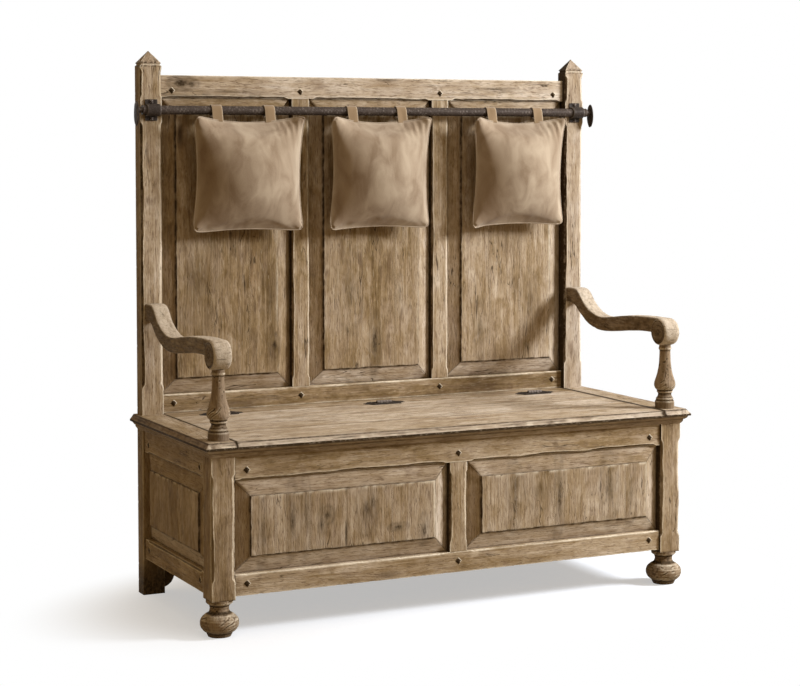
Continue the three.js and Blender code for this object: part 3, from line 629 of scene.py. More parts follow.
def timber_rings(low, high, axis, cuts, stretches=None, insets=None, stations=(), seed=1,
                 ripple=0.35 * mm, chips=1.0, waney=0.3, step=STEP, end_wax=0.75, shade=0.6,
                 holds=(0, 0, 0, 0)):
    """A rectangle with cut corners, carried along an axis. Each corner's cut grows from a fine
    arris to its full depth inside the stretches, times slow random waves. The skin is sunk by
    a shallow ripple, and more where an edge is chipped. Dark wax marks the joint lines at the
    ends. The chamfers that look down or to the left, away from the lamp, get painted shade as
    strong as shade says, and the others keep a little more pale wear, a painted highlight. The
    last argument is the painted shade on each of the four faces, which also takes their pale
    edge wear away."""
    first, second = (axis + 1) % 3, (axis + 2) % 3
    length = high[axis] - low[axis]
    along = np.sort(np.concatenate([low[axis] + spaced(length, step), stations]))
    stretches = stretches or [(low[axis] + CHAMFER_STOP, high[axis] - CHAMFER_STOP)]
    full = np.zeros_like(along)
    for start, end in stretches:
        rise = ramp(along, start, start + CHAMFER_RUN)
        fall = 1 - ramp(along, end - CHAMFER_RUN, end)
        full = np.maximum(full, rise * fall)
    cut = []
    for k, depth in enumerate(cuts):
        sway = 1 + waney * waves(along, LONG_WAVE, 40 * seed + k) \
            + 0.45 * waney * waves(along, SHORT_WAVE, 40 * seed + 7 + k)
        cut.append(ARRIS + max(depth - ARRIS, 0) * full * sway)
    cut = np.array(cut)
    inset = np.zeros((2, len(along))) if insets is None else insets(along)
    a0, a1 = low[first] + inset[0], high[first] - inset[0]
    b0, b1 = low[second] + inset[1], high[second] - inset[1]
    corner = np.array([(a0, b0), (a1, b0), (a1, b1), (a0, b1)]).transpose(0, 2, 1)
    parts, normals, worn, dark = [], [], [], []
    for k in range(4):
        # A face, from one corner's cut to the next one's.
        after = (k + 1) % 4
        start = corner[k] + cut[k][:, None] * WAYS[k]
        end = corner[after] - cut[after][:, None] * WAYS[k]
        width = abs(corner[after][0] - corner[k][0]).sum()
        place = spaced(width, step)
        share = place / width
        parts.append(start[:, None] + share[None, :, None] * (end - start)[:, None])
        normals.append(np.broadcast_to(OUTWARD[k].astype(float), (len(along), len(share), 2)))
        edge = fade(np.minimum(place, width - place), EDGE_REACH)
        # Pale wear along the arrises, taken away where the face has painted shade; then the face's painted
        # shade.
        worn.append(np.broadcast_to(edge * max(0, 1 - holds[k]), (len(along), len(share))))
        dark.append(np.full((len(along), len(share)), float(holds[k])))

        # The chamfer that follows it.
        turn = corner[after] + cut[after][:, None] * WAYS[after]
        share = np.array([0.3, 0.7])
        parts.append(end[:, None] + share[None, :, None] * (turn - end)[:, None])
        slope = (OUTWARD[k] + OUTWARD[after]) / np.sqrt(2)
        normals.append(np.broadcast_to(slope, (len(along), 2, 2)))
        wide = ((cut[after] - ARRIS) / WIDE_CUT).clip(0, 1)[:, None]
        facing = np.zeros(3)
        facing[[first, second]] = slope
        # Painted shade on the chamfers that look left or down, and a little more pale wear, a painted
        # highlight, on the others.
        painted_shade_share = shade if facing[0] < -0.1 or facing[2] < -0.1 else 0.0
        worn.append(np.broadcast_to(1 - wide * min(1, 0.85 + painted_shade_share), (len(along), 2)))
        dark.append(np.broadcast_to(wide * painted_shade_share, (len(along), 2)))
    flat, normal, worn, dark = [np.concatenate(part, 1) for part in (parts, normals, worn, dark)]
    rings = np.zeros(flat.shape[:2] + (3,))
    rings[..., axis] = along[:, None]
    rings[..., first], rings[..., second] = flat[..., 0], flat[..., 1]
    scale = np.full(3, RIPPLE_ACROSS)
    scale[axis] = RIPPLE_ALONG
    sunk = ripple * (0.5 + 0.5 * noise(rings, scale, 90 + seed))
    sunk += chips * worn * CHIP_DEPTH * ramp(noise(rings, CHIP_SIZE, 190 + seed), 0.35, 0.9)
    deepest = min(high[first] - low[first], high[second] - low[second]) / 8
    sunk = np.minimum(sunk, deepest)
    rings[..., first] -= sunk * normal[..., 0]
    rings[..., second] -= sunk * normal[..., 1]
    ends = np.minimum(along - low[axis], high[axis] - along)[:, None]
    grime_and_shade = np.maximum(dark * (0.9 + 0.35 * noise(rings, 2 * CHIP_SIZE, 290 + seed)),
                     end_wax * fade(ends, END_REACH))
    wear_and_highlight = worn * (0.72 + 0.5 * noise(rings, scale / 2, 390 + seed))
    values = {"grain": grain_place(rings, axis, seed), "wear_and_highlight": wear_and_highlight.clip(0, 1),
              "grime_and_shade": grime_and_shade.clip(0, 1)}
    return rings, values


print("timber helper ready")

# %% [markdown]
# No two boards have the same tone, the weather greys some more than others, and a few knots show
# as dark spots with a faint ring. These are stored with the shape too.

# %% Tones and knots
def tinted(values, tint, grey=0.0):
    """Adds a step of tone to a whole piece, as boards from different trees have, and how far
    the weather has greyed it."""
    values["tint"] = np.full(values["wear_and_highlight"].shape, tint)
    values["grey"] = np.broadcast_to(grey, values["wear_and_highlight"].shape)
    return values


def marked(across, up, spots):
    """How dark the knots and smudges make a point. A spot is its place across and up, its
    reach each way, all in millimetres, and its strength. A faint ring runs round it."""
    total = np.zeros_like(across)
    for place_x, place_z, reach_x, reach_z, strength in spots:
        away = np.hypot((across / mm - place_x) / reach_x, (up / mm - place_z) / reach_z)
        total = np.maximum(total, strength * (bell(away, 0, 1) + 0.35 * bell(away, 1.9, 0.4)))
    return total


def timber(name, low, high, axis, cuts, tint=0.0, grey=0.0, body="bench", painted_light_rise=0.0, spots=(), **shape):
    """A timber as a loft of its rings. Its tone rises from left to right by a painted light, lighter
    towards the lamp.
    """
    rings, values = timber_rings(np.array(low), np.array(high), axis, cuts, **shape)
    deepen(values, "grime_and_shade", marked(rings[..., 0], rings[..., 2], spots))
    values = tinted(values, tint, grey)
    values["tint"] = values["tint"] + painted_light_rise * rings[..., 0] / high[0]
    return loft("oak_" + name, rings, values, body=body, stands_for=(name,))


print("tone helpers ready")

# %% [markdown]
# The rear posts run from the floor to a pyramid finial. Below the pyramid a small groove runs
# round the post. The post's width and depth shrink along it by a rule: nothing up to the
# groove, a shallow notch there, then straight lines to the tip.

# %% Rear posts
POST_CHAMFER = 8 * mm
GROOVE_LOW = 1449 * mm
GROOVE_HIGH = 1457 * mm
GROOVE_DEPTH = 3.2 * mm
GROOVE_SLOPE = 2.4 * mm
FINIAL_STEP = 0.8 * mm
TIP = 1 * mm
FOOT_SHADE = (20 * mm, 130 * mm)
SEAT_RAIL_TOP = node_box("back_seat_rail")[1][2]
plate_low, plate_high = node_box("rod_bracket_right")
post_top = node_box("rear_post_right")[1][2]
post_stations = np.concatenate([GROOVE_LOW + np.array([-1.5, -0.4, 0, 2.4]) * mm,
                                GROOVE_HIGH + np.array([-2.4, 0, 0.6, 3]) * mm])


def post_insets(low, high):
    """How far each side of the post draws in at a height: a notch, then a pyramid."""
    def rule(height):
        notch = np.interp(height, [GROOVE_LOW, GROOVE_LOW + GROOVE_SLOPE, GROOVE_HIGH - GROOVE_SLOPE,
                                   GROOVE_HIGH], [0, GROOVE_DEPTH, GROOVE_DEPTH, FINIAL_STEP])
        rise = np.clip((height - GROOVE_HIGH) / (post_top - GROOVE_HIGH), 0, 1)
        return np.array([np.where(height > GROOVE_HIGH,
                                  FINIAL_STEP + (half - TIP - FINIAL_STEP) * rise, notch)
                         for half in (high[:2] - low[:2]) / 2])
    return rule


# After each seed: the painted shade on the post's four faces, on those that look left or face the panel.
for side, seed, holds, tint, grey in (("left", 11, (0, 0.35, 0, 0.25), 0.07, 0.1),
                                      ("right", 12, (0, 0, 0, 1.2), 0.2, 0.45)):
    low, high = node_box(f"rear_post_{side}")
    rings, values = timber_rings(
        low, high, 2, (POST_CHAMFER, POST_CHAMFER, ARRIS, ARRIS),
        stretches=[(SEAT_RAIL_TOP + CHAMFER_STOP, plate_low[2]), (plate_high[2], GROOVE_LOW - 4 * mm)],
        insets=post_insets(low, high), stations=post_stations, seed=seed, waney=0.42, shade=0.75,
        holds=holds)
    height = rings[..., 2]
    groove = bell(height, GROOVE_LOW, 2 * mm) + bell(height, GROOVE_HIGH + 1.5 * mm, 2 * mm)
    teeth = 0.5 + 0.5 * noise(rings, (3.2 * mm, 3.2 * mm, 9 * mm), 60 + seed)
    # The groove holds dark wax. The foot is painted darker towards the floor, a painted shade.
    deepen(values, "grime_and_shade", 0.9 * groove * ramp(teeth, 0.3, 0.7), 0.7 * (1 - ramp(height, *FOOT_SHADE)))
    deepen(values, "wear_and_highlight", 0.4 * ((height > GROOVE_LOW + 1 * mm) & (height < GROOVE_HIGH - 1 * mm)))
    grey = grey + 0.5 * ramp(height, GROOVE_LOW, GROOVE_HIGH)
    loft(f"oak_rear_post_{side}", rings, tinted(values, tint, grey), stands_for=(f"rear_post_{side}",))
print("posts:", [made[f"oak_rear_post_{side}"] for side in ("left", "right")], "faces")

# %% [markdown]
# The frame of the back, the frame of the chest and its legs are all timbers between corners
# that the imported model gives. A rail's box also holds its peg heads, so its front face is
# taken from its back face and the thickness of the frame.

# %% Frames
RAIL_CHAMFER = 5.5 * mm
WORN_CUT = 2.6 * mm
FRAME_THICKNESS = 29 * mm
SIDE_FACE = 694 * mm
OPENING_STOP = 9 * mm


def openings_between(nodes):
    """The stretches of a rail that lie between upright timbers, a little short of each."""
    boxes = [node_box(node) for node in nodes]
    return [(before[1][0] + OPENING_STOP, after[0][0] - OPENING_STOP)
            for before, after in zip(boxes[:-1], boxes[1:])]


def framed(node, axis, cuts, seed, tint, facing, **shape):
    """A rail or muntin at its node's place, as thick as the frame. facing names its front."""
    low, high = node_box(node)
    if facing == "front":
        low[1] = high[1] - FRAME_THICKNESS
    if facing == "right":
        high[0] = SIDE_FACE
    if facing == "left":
        low[0] = -SIDE_FACE
    timber(node, low, high, axis, cuts, tint=tint, seed=seed, **shape)


fine, cut = ARRIS, RAIL_CHAMFER
back_rail = {"waney": 0.5, "stretches": openings_between(
    ["rear_post_left", "back_muntin_left", "back_muntin_right", "rear_post_right"])}
front_rail = {"waney": 0.5, "stretches": openings_between(
    ["front_leg_left", "front_muntin", "front_leg_right"])}
# Muntins get painted shade on the face that looks left, and a little on the face that looks right.
muntin = {"waney": 0.5, "end_wax": 0.15, "holds": (0, 0.3, 0, 1.2)}
top_rail_spots = [(-577, 1404, 20, 11, 1.0), (-548, 1402, 12, 8, 0.8), (-434, 1381, 50, 3, 0.6),
                  (-600, 1370, 60, 3, 0.4), (405, 1397, 44, 2.5, 0.7), (430, 1388, 30, 2, 0.6)]
# The top rails are painted lighter towards the right, where the lamp stands: a painted light.
for node, axis, cuts, seed, tint, shape in (
        ("back_top_rail", 0, (cut, fine, fine, fine), 21, 0.16,
         dict(back_rail, painted_light_rise=0.06, spots=top_rail_spots, grey=0.2)),
        ("back_seat_rail", 0, (fine, fine, fine, WORN_CUT), 22, -0.09, back_rail),
        ("back_muntin_left", 2, (cut, cut, fine, fine), 23, -0.04, muntin),
        ("back_muntin_right", 2, (cut, cut, fine, fine), 24, 0.05, muntin),
        ("box_back_rail", 0, (fine, fine, fine, fine), 25, -0.05, {}),
        ("front_top_rail", 0, (cut, fine, fine, fine), 26, -0.01, dict(front_rail, painted_light_rise=0.03)),
        ("front_bottom_rail", 0, (fine, fine, fine, WORN_CUT), 27, 0.02, front_rail),
        ("front_muntin", 2, (cut, cut, fine, fine), 28, 0.02, muntin)):
    framed(node, axis, cuts, seed, tint, "front", **shape)
for side, seed, top_cuts, low_cuts in (
        ("left", 31, (cut, fine, fine, fine), (fine, cut, fine, fine)),
        ("right", 35, (fine, fine, fine, cut), (fine, fine, cut, fine))):
    framed(f"side_top_rail_{side}", 1, top_cuts, seed, 0.08, side, grey=0.3)
    framed(f"side_bottom_rail_{side}", 1, low_cuts, seed + 1, -0.02, side)
print("rails and muntins:", len(made) - 2)

# %% Legs and battens
bottom_rail_top = node_box("front_bottom_rail")[1][2]
chest_rail_low = node_box("front_top_rail")[0][2]
# After the rear cuts, each row gives the painted shade on the leg's four faces: the right leg's face that
# looks left and the left leg's face towards the chest.
for side, seed, rear_cuts, holds in (("left", 41, (fine, cut), (0, 0.3, 0, 0)),
                                     ("right", 42, (cut, fine), (0, 0, 0, 1.2))):
    low, high = node_box(f"front_leg_{side}")
    timber(f"front_leg_{side}", low, high, 2, (POST_CHAMFER, POST_CHAMFER, *rear_cuts), grey=0.15,
           seed=seed, waney=0.5, shade=0.4, holds=holds,
           stretches=[(bottom_rail_top - CHAMFER_STOP, chest_rail_low + CHAMFER_STOP)])
for side, seed in (("left", 43), ("right", 44)):
    low, high = node_box(f"lid_batten_{side}")
    timber(f"lid_batten_{side}", low, high, 1, (fine, fine, fine, fine), seed=seed, body="lid",
           tint=-0.05)
print("timbers:", sum(1 for name in made if name.startswith("oak_")))

# %% [markdown]
# Square pegs hold the joints. Each was driven in on the diagonal, and its head stands proud as a
# low pyramid. A head is a loft of square rings that shrink to a point.

# %% Peg heads
PEG_HALF = 9.6 * mm
PEG_PROUD = 3.4 * mm
PEG_INSET = 34 * mm
PEG_EDGE = 24.5 * mm
TOP_PEG_EDGE = 20.4 * mm
BACK_FACE = node_box("back_muntin_left")[0][1]
CHEST_FACE = node_box("front_muntin")[0][1]


def peg(name, centre, normal, seed):
    """Square rings on the diagonal: a straight neck, then a pyramid with a rounded tip."""
    turn = full_turn(24)
    square = 1 / (np.abs(np.cos(turn)) + np.abs(np.sin(turn)))
    reach = np.array([1, 1, 0.9, 0.72, 0.66, 0.45, 0.25, 0.06]) * PEG_HALF
    lift = np.array([-0.6, 0.12, 0.2, 0.22, 0.4, 0.7, 0.92, 1]) * PEG_PROUD
    normal = np.array(normal, float)
    side = np.array([normal[1], -normal[0], 0])
    reach = reach[:, None] * square * (1 + 0.05 * waves(turn, 0.8, seed))
    rings = np.array(centre) + (reach * np.cos(turn))[..., None] * side \
        + (reach * np.sin(turn))[..., None] * np.array([0, 0, 1.0]) \
        + lift[:, None, None] * normal
    # The head is dark all over, less on the facets up and to the right, which face the lamp and are
    # painted pale: a painted highlight.
    outer = np.array([0.3, 1, 1, 0.6, 0, 0, 0, 0])[:, None]
    painted_highlight = outer * ramp(0.6 * np.sin(turn) - np.cos(turn), -0.2, 0.6)
    values = {"grain": grain_place(rings, 2, seed), "wear_and_highlight": 0.9 * painted_highlight, "grime_and_shade": 0.97 - 0.9 * painted_highlight}
    loft(name, rings, tinted(values, -0.1))


def middle_of(node):
    """The middle of a node, left to right."""
    low, high = node_box(node)
    return (low[0] + high[0]) / 2


post_inner = node_box("rear_post_right")[0][0]
leg_inner = node_box("front_leg_right")[0][0]
back_columns = [PEG_INSET - post_inner, middle_of("back_muntin_left"),
                middle_of("back_muntin_right"), post_inner - PEG_INSET]
front_columns = [PEG_INSET - leg_inner, 0, leg_inner - PEG_INSET]
side_low, side_high = node_box("side_top_rail_left")
side_columns = [side_low[1] + PEG_INSET, side_high[1] - PEG_INSET]
top_rail_low = node_box("back_top_rail")[0][2]
chest_heights = (chest_rail_low + PEG_EDGE, bottom_rail_top - PEG_EDGE)
places = [((x, BACK_FACE, z), (0, -1, 0)) for x, z in
          product(back_columns, (top_rail_low + TOP_PEG_EDGE, SEAT_RAIL_TOP - PEG_EDGE))]
places += [((x, CHEST_FACE, z), (0, -1, 0)) for x, z in product(front_columns, chest_heights)]
places += [((out * SIDE_FACE, y, z), (out, 0, 0))
           for out, y, z in product((-1, 1), side_columns, chest_heights)]
for number, (centre, normal) in enumerate(places):
    peg(f"peg_{number:02d}", centre, normal, 70 + number)
print("pegs:", len(places))

# %% [markdown]
# A raised and fielded panel is one board with a wide bevel planed round it. The bevel starts deep
# in the frame's groove and rises to a small step, and the flat field stands above that step.
# Its depth is a function of the distance to the nearest edge of the opening. The bevels were
# hewn in from the sides, so the edge of the field is ragged, and wax sits below it. That dark
# line is stronger on the left and lower edges, a painted shade, and the bevels and the lip of
# the field are painted lighter where they face the lamp or the floor, a painted light.

# %% Panels
TONGUE = 8 * mm
RIM_DEPTH = 18 * mm
TOP_RISE = 9 * mm
BEVEL = 44 * mm
BEVEL_END = BEVEL - 0.5 * mm
FIELD_START = BEVEL + 0.4 * mm
FIELD_STEP = 4 * mm
FIELD_PROUD = 2 * mm
TONGUE_THICKNESS = 7 * mm
PANEL_STEP = 5 * mm
JOINT_WANDER = 2.2 * mm
JOINT_REACH = 1.7 * mm
JOINT_DEPTH = 0.8 * mm
RAGGED_DEPTH = 1.6 * mm
RAGGED_SHIFT = 1.3 * mm
FIELD_RIPPLE = 0.35 * mm
BEVEL_RIPPLE = 0.5 * mm


def panel_places(start, end):
    """Places across a panel, close together at the rim and at the edge of the field."""
    near = np.array([-TONGUE, -0.2 * mm, 2 * mm, 5 * mm])
    rim = np.linspace(9 * mm, BEVEL - 3 * mm, 9)
    step = BEVEL + np.array([-1.2, -0.5, 0.4, 1.6, 4]) * mm
    side = np.concatenate([near, rim, step])
    inner = end - start - 2 * side[-1]
    middle = np.linspace(0, inner, max(2, round(inner / PANEL_STEP)) + 1)[1:-1] + side[-1]
    places = np.concatenate([side, middle, (end - start) - side[::-1]])
    return start + places, len(side)


def board_joints(u, v, start, width, joints, crack, seed):
    """Which board each point is on, and how open the joint beside it is. Each joint is a line
    that wanders by slow waves, with a bell across it. A crack is a joint that has opened."""
    index, seam = np.zeros_like(u), np.zeros_like(u)
    for number, share in enumerate(joints):
        line = start + share * width + JOINT_WANDER * waves(v, 55 * mm, seed + 20 + number)
        index += u > line
        strength, closed_below = (1.6, -0.5) if share == crack else (0.3, 0.0)
        open_here = ramp(waves(v, 60 * mm, seed + 40 + number), closed_below, 0.5)
        seam = np.maximum(seam, strength * open_here * bell(u, line, JOINT_REACH))
    return index, seam


print("panel helpers ready")

# %% Panel surface
def panel(node, across, seed, joints, crack=None, tint=0.0, grey=0.0, spots=()):
    """A grid over a panel. across is 0 for a panel that looks forwards and 1 for a side panel.
    joints are the places, in shares of the field, where one board meets the next. The depth is
    a broken line over the distance inside the opening, with ripples and a ragged field edge."""
    low, high = node_box(node)
    across_low, across_high = low[across] + TONGUE, high[across] - TONGUE
    up_low, up_high = low[2] + TONGUE, high[2] - TONGUE
    u, edge_count = panel_places(across_low, across_high)
    v, _ = panel_places(up_low, up_high)
    v, u = np.meshgrid(v, u, indexing="ij")
    left, right, below, above = u - across_low, across_high - u, v - up_low, up_high - v
    from_side, from_end = np.minimum(left, right), np.minimum(below, above)
    inside = np.minimum(from_side, from_end)
    depth = np.interp(inside, [-TONGUE, 0, BEVEL_END, FIELD_START],
                      [RIM_DEPTH, RIM_DEPTH, FIELD_STEP - FIELD_PROUD, -FIELD_PROUD])
    toward_top = (from_side - above) / (from_side + above + 2 * TONGUE + 1 * mm)
    sunk_share = 1 - np.clip(inside / BEVEL_END, 0, 1)
    depth -= TOP_RISE * ramp(toward_top, -0.05, 0.12) * (above < below) * sunk_share
    spot = np.stack([u, v, np.full_like(u, seed * 31 * mm)], -1)
    ragged = bell(inside, BEVEL, 4 * mm)
    field = ramp(inside, BEVEL_END, FIELD_START)
    depth += ragged * field * RAGGED_DEPTH * ramp(noise(spot, 7 * mm, seed), 0.25, 0.8)
    depth += FIELD_RIPPLE * (1 + noise(spot, (20 * mm, 110 * mm, 1), seed + 1)) * field
    depth += BEVEL_RIPPLE * noise(spot, 26 * mm, seed + 2) * (1 - field) * ramp(inside, 0, 12 * mm)
    shift = ragged * RAGGED_SHIFT * noise(spot, 13 * mm, seed + 3)
    u_moved = u + shift * np.sign(right - left) * (from_side < from_end)
    v_moved = v + shift * np.sign(above - below) * (from_side >= from_end)
    in_field = inside > BEVEL
    index, seam = board_joints(u, v, across_low + BEVEL, across_high - across_low - 2 * BEVEL,
                               joints, crack, seed)
    seam = seam * in_field
    depth += seam * JOINT_DEPTH
    outward = -1 if across == 0 or node.endswith("left") else 1
    outer_face = low if outward < 0 else high
    face = outer_face[1 - across] - outward * FIELD_PROUD
    back_face = face - outward * (RIM_DEPTH + TONGUE_THICKNESS)

    def placed(first, second, third):
        """Puts across, up and depth into the bench's own axes."""
        third = np.broadcast_to(third, first.shape)
        return np.stack([first, third, second] if across == 0 else [third, first, second], -1)

    front = placed(u_moved, v_moved, face - outward * depth)
    back = placed(u, v, back_face)
    shade = np.random.default_rng(seed).uniform(-1, 1, 40)[np.clip(index, 0, 39).astype(int)]
    shade = shade * in_field
    through = np.stack([v, u + 0.31 * shade, depth], -1)
    sideways = np.stack([u, v + 0.5, depth], -1)
    turned_grain = (from_end < from_side) & ~in_field
    grain = np.where(turned_grain[..., None], sideways, through) + GRAIN_SHIFT * seed % 9
    # The right and upper edges face the lamp. Below the field's step there is dark wax, painted stronger
    # on the left and lower edges as a painted shade, and the lip of the field is pale on the right and
    # upper edges, a painted highlight.
    toward_lamp = np.where(from_side < from_end, right < left, above < below)
    low_step = bell(inside, BEVEL - 1 * mm, np.where(toward_lamp, 1.5 * mm, 2.4 * mm))
    step_wax_and_shade = np.where(toward_lamp, 0.65, 1.0) * low_step * (0.75 + 0.5 * noise(spot, 11 * mm, seed + 4))
    lip = bell(inside, BEVEL + 2 * mm, 2 * mm) * np.where(toward_lamp, 1.0, 0.2)
    lip_wear_and_highlight = 0.7 * lip * ramp(noise(spot, (12 * mm, 90 * mm, 1), seed + 5), -0.5, 0.5)
    # Painted light on the bevels: lighter on the right, where the lamp shines, and below, where the floor
    # lights them, and darker on the left.
    bevel_painted_light = np.where(from_side < from_end, np.where(right < left, 0.08, -0.03),
                          np.where(above < below, 0.05, 0.2))
    stained = marked(u, v, spots) * (0.85 + 0.3 * noise(spot, (6 * mm, 20 * mm, 1), seed + 7))
    dots = lip * ramp(noise(spot, 6 * mm, seed + 6), 0.35, 0.7) * (from_end < from_side)
    mitre = (inside > 2 * mm) * (inside < BEVEL) * bell(from_side, from_end, 1.6 * mm)
    grime_and_shade = np.maximum.reduce([0.6 * fade(np.maximum(inside, 0), 2.2 * mm), step_wax_and_shade, 0.55 * seam,
                             0.8 * dots, 0.45 * mitre, stained])
    values = {"grain": grain, "wear_and_highlight": lip_wear_and_highlight.clip(0, 1), "grime_and_shade": grime_and_shade.clip(0, 1),
              "tint": tint + 0.05 * shade + bevel_painted_light * (1 - field),
              "grey": grey + 0.15 * (1 - field)}
    plain_grain = np.stack([v, u, np.full_like(u, 0.3)], -1) + GRAIN_SHIFT * seed % 9
    back_values = tinted({"grain": plain_grain, "wear_and_highlight": np.zeros_like(u),
                          "grime_and_shade": np.full_like(u, 0.12)}, tint)
    rows, columns = [np.arange(size - 1) for size in front.shape[:2]]
    at_foot, at_head = rows < edge_count, rows >= len(rows) - edge_count
    at_left, at_right = columns < edge_count, columns >= len(columns) - edge_count
    turned = (at_foot[:, None] & at_right) | (at_head[:, None] & at_left)
    slab("oak_" + node, front, back, values, back_values, stands_for=(node,), turned=turned)


panel("back_panel_left", 0, 101, (0.34, 0.71), tint=-0.085,
      spots=[(-303, 667, 9, 18, 1.0), (-535, 862, 34, 70, 0.4), (-317, 798, 12, 50, 0.5),
             (-400, 720, 14, 26, 0.3)])
panel("back_panel_centre", 0, 111, (0.4, 0.74), tint=0.01,
      spots=[(10, 661, 10, 44, 0.9), (-70, 818, 24, 60, 0.35), (90, 800, 8, 30, 0.4)])
panel("back_panel_right", 0, 121, (0.31, 0.66), tint=0.05, grey=0.1,
      spots=[(355, 684, 11, 44, 0.5), (526, 767, 14, 44, 0.4)])
panel("front_panel_left", 0, 141, (0.13, 0.31, 0.508, 0.76), crack=0.508, tint=0.045, grey=0.2,
      spots=[(-380, 287, 10, 12, 1.0), (-398, 262, 6, 26, 0.8), (-177, 238, 15, 6, 0.9),
             (-104, 225, 9, 22, 0.8), (-478, 283, 10, 50, 0.6), (-440, 300, 7, 60, 0.5),
             (-560, 250, 8, 44, 0.6), (-270, 290, 16, 34, 0.5), (-252, 310, 7, 20, 0.7)])
panel("front_panel_right", 0, 151, (0.2, 0.43, 0.66, 0.86), tint=0.03, grey=0.1,
      spots=[(311, 277, 8, 74, 0.75), (171, 320, 14, 34, 0.55), (171, 267, 8, 40, 0.55),
             (471, 290, 16, 50, 0.6), (250, 300, 24, 28, 0.35), (540, 270, 9, 50, 0.4)])
panel("side_panel_left", 1, 161, (0.42, 0.8), tint=0.05)
panel("side_panel_right", 1, 171, (0.42, 0.8), tint=0.05)
print("panels:", made["oak_back_panel_left"], "faces each")

# %% [markdown]
# The top of the chest has a fixed board at each end, a strip behind and the lid between. Their
# front edge is a nose: a bevel on top, a short upright flat and a level underside. It is the most
# worn edge of the bench, so it is pitted and its line wanders.

# %% Top boards
NOSE_RUN = 10.6 * mm
NOSE_DROP = 13.7 * mm
TOP_STEP = 5.5 * mm
NOSE_PLACES = np.array([0, 0.9, 2.4, 4.6, 7.0, 9.2, 10.6, 12.4, 16, 21]) * mm
NEAR_NOSE = 9 * mm
PIT_DEPTH = 1.5 * mm
PIT_BROAD = 0.5 * mm
TOP_RIPPLE = 0.3 * mm
SEAM_DEPTH = 0.7 * mm
SEAM_REACH = 2.2 * mm
LID_SHADOW = (13 * mm, 6 * mm)
POST_GAP = 0.3 * mm


def from_nose(length):
    """Places back from a nose: close together over the bevel, then even."""
    count = max(2, round((length - NOSE_PLACES[-1]) / TOP_STEP))
    return np.concatenate([NOSE_PLACES, np.linspace(NOSE_PLACES[-1], length, count + 1)[1:]])


def top_board(name, x, y, noses, axis, seed, body="bench", tint=0.0, boards=(), notch=None,
              noses_inside=None):
    """A board as a grid over x and y. noses gives the distance to the nearest nosed edge, boards
    the lines where one plank meets the next, and noses_inside the distance to the joint with
    the lid, where that isn't both ends. The top falls with the first over the bevel. Behind it
    is a ripple, and pits at the edge."""
    low, high = node_box(name)
    x, y = np.meshgrid(x, y, indexing="ij")
    if notch is not None:
        x = notch(x, y)
    away = noses(x, y)
    spot = np.stack([x, y, np.full_like(x, seed * 13 * mm)], -1)
    along_x = axis == 0
    worn_size = np.array([34 * mm, 5 * mm, 1] if along_x else [13 * mm, 13 * mm, 1])
    ripple_size = (110 * mm, 22 * mm, 1) if along_x else (22 * mm, 110 * mm, 1)
    near = fade(away, NEAR_NOSE)
    pits = ramp(noise(spot, worn_size, seed), 0.3, 0.9)
    broad = noise(spot, 3 * worn_size, seed + 1)
    top = high[2] - NOSE_DROP * (1 - np.clip(away / NOSE_RUN, 0, 1))
    top -= near * (PIT_DEPTH * pits + PIT_BROAD * (1 + broad)) * ramp(away, -1 * mm, 4 * mm)
    top -= TOP_RIPPLE * (1 + noise(spot, ripple_size, seed + 2))
    seam, number = np.zeros_like(x), np.zeros_like(x)
    for line in boards:
        wander = line + 0.8 * mm * waves(x, 90 * mm, seed + 5)
        seam = np.maximum(seam, bell(y, wander, SEAM_REACH))
        number += y > line
    front = np.stack([x, y, top - SEAM_DEPTH * seam], -1)
    back = np.stack([x, y, np.full_like(x, low[2])], -1)
    grain = grain_place(front, axis, seed) + number[..., None] * np.array([0.9, 0.4, 0.2])
    flecks = ramp(noise(spot, worn_size * 0.6, seed + 3), -0.1, 0.6)
    wear_and_highlight = near * (0.2 + 0.5 * flecks) * (1 - 0.8 * pits)
    lip = bell(away, 9.2 * mm, 1.1 * mm) * (0.75 + 0.4 * broad)
    scored = bell(away, 4.6 * mm + 1.2 * mm * broad, 1.1 * mm) \
        * ramp(noise(spot, (70 * mm, 70 * mm, 1), seed + 8), -0.3, 0.4)
    if noses_inside is None:
        rim = np.minimum(x - x.min(), x.max() - x)
        shadow = ramp(x, x.max() - LID_SHADOW[0], x.max() - LID_SHADOW[1])
        shaded = 0.12 * ramp(x, x.max() - 90 * mm, x.max() - 10 * mm)
    else:
        rim, shadow, shaded = noses_inside(x), np.zeros_like(x), 0
    # Painted shadows: a dark line along the foot of the nose, and at the right end of the lid and strip a
    # band beside the end board with a wider darkening.
    grime_and_shade = np.maximum.reduce([0.5 * near * pits, 0.8 * seam, lip, 0.65 * scored, shadow,
                             0.85 * (away < 0.5 * mm), bell(np.maximum(rim, 0), 0, 3.4 * mm)])
    at_nose = ramp(-away, -1.3 * NOSE_RUN, -0.8 * NOSE_RUN)
    # The side noses are painted darker and keep little pale wear, a painted shade, and every top board
    # grows lighter towards the right, a painted light.
    side_nose = away < y - low[1] - 0.1 * mm
    wear_and_highlight = wear_and_highlight * np.where(side_nose, 0.15, 1)
    values = {"grain": grain, "wear_and_highlight": wear_and_highlight.clip(0, 1), "grime_and_shade": grime_and_shade.clip(0, 1),
              "tint": tint + 0.03 * number + np.where(side_nose, -0.22, 0.05) * at_nose
              + 0.07 * ramp(x, -0.1, 0.4) - shaded,
              "grey": 0.9 * at_nose}
    # The underside is painted darker, most near the nose: a painted shade under the board.
    under = tinted({"grain": grain_place(back, axis, seed), "wear_and_highlight": np.zeros_like(x),
                    "grime_and_shade": 0.35 + 0.5 * near.clip(0, 1)}, tint - 0.05)
    slab("oak_" + name, front, back, values, under, body=body, stands_for=(name,))


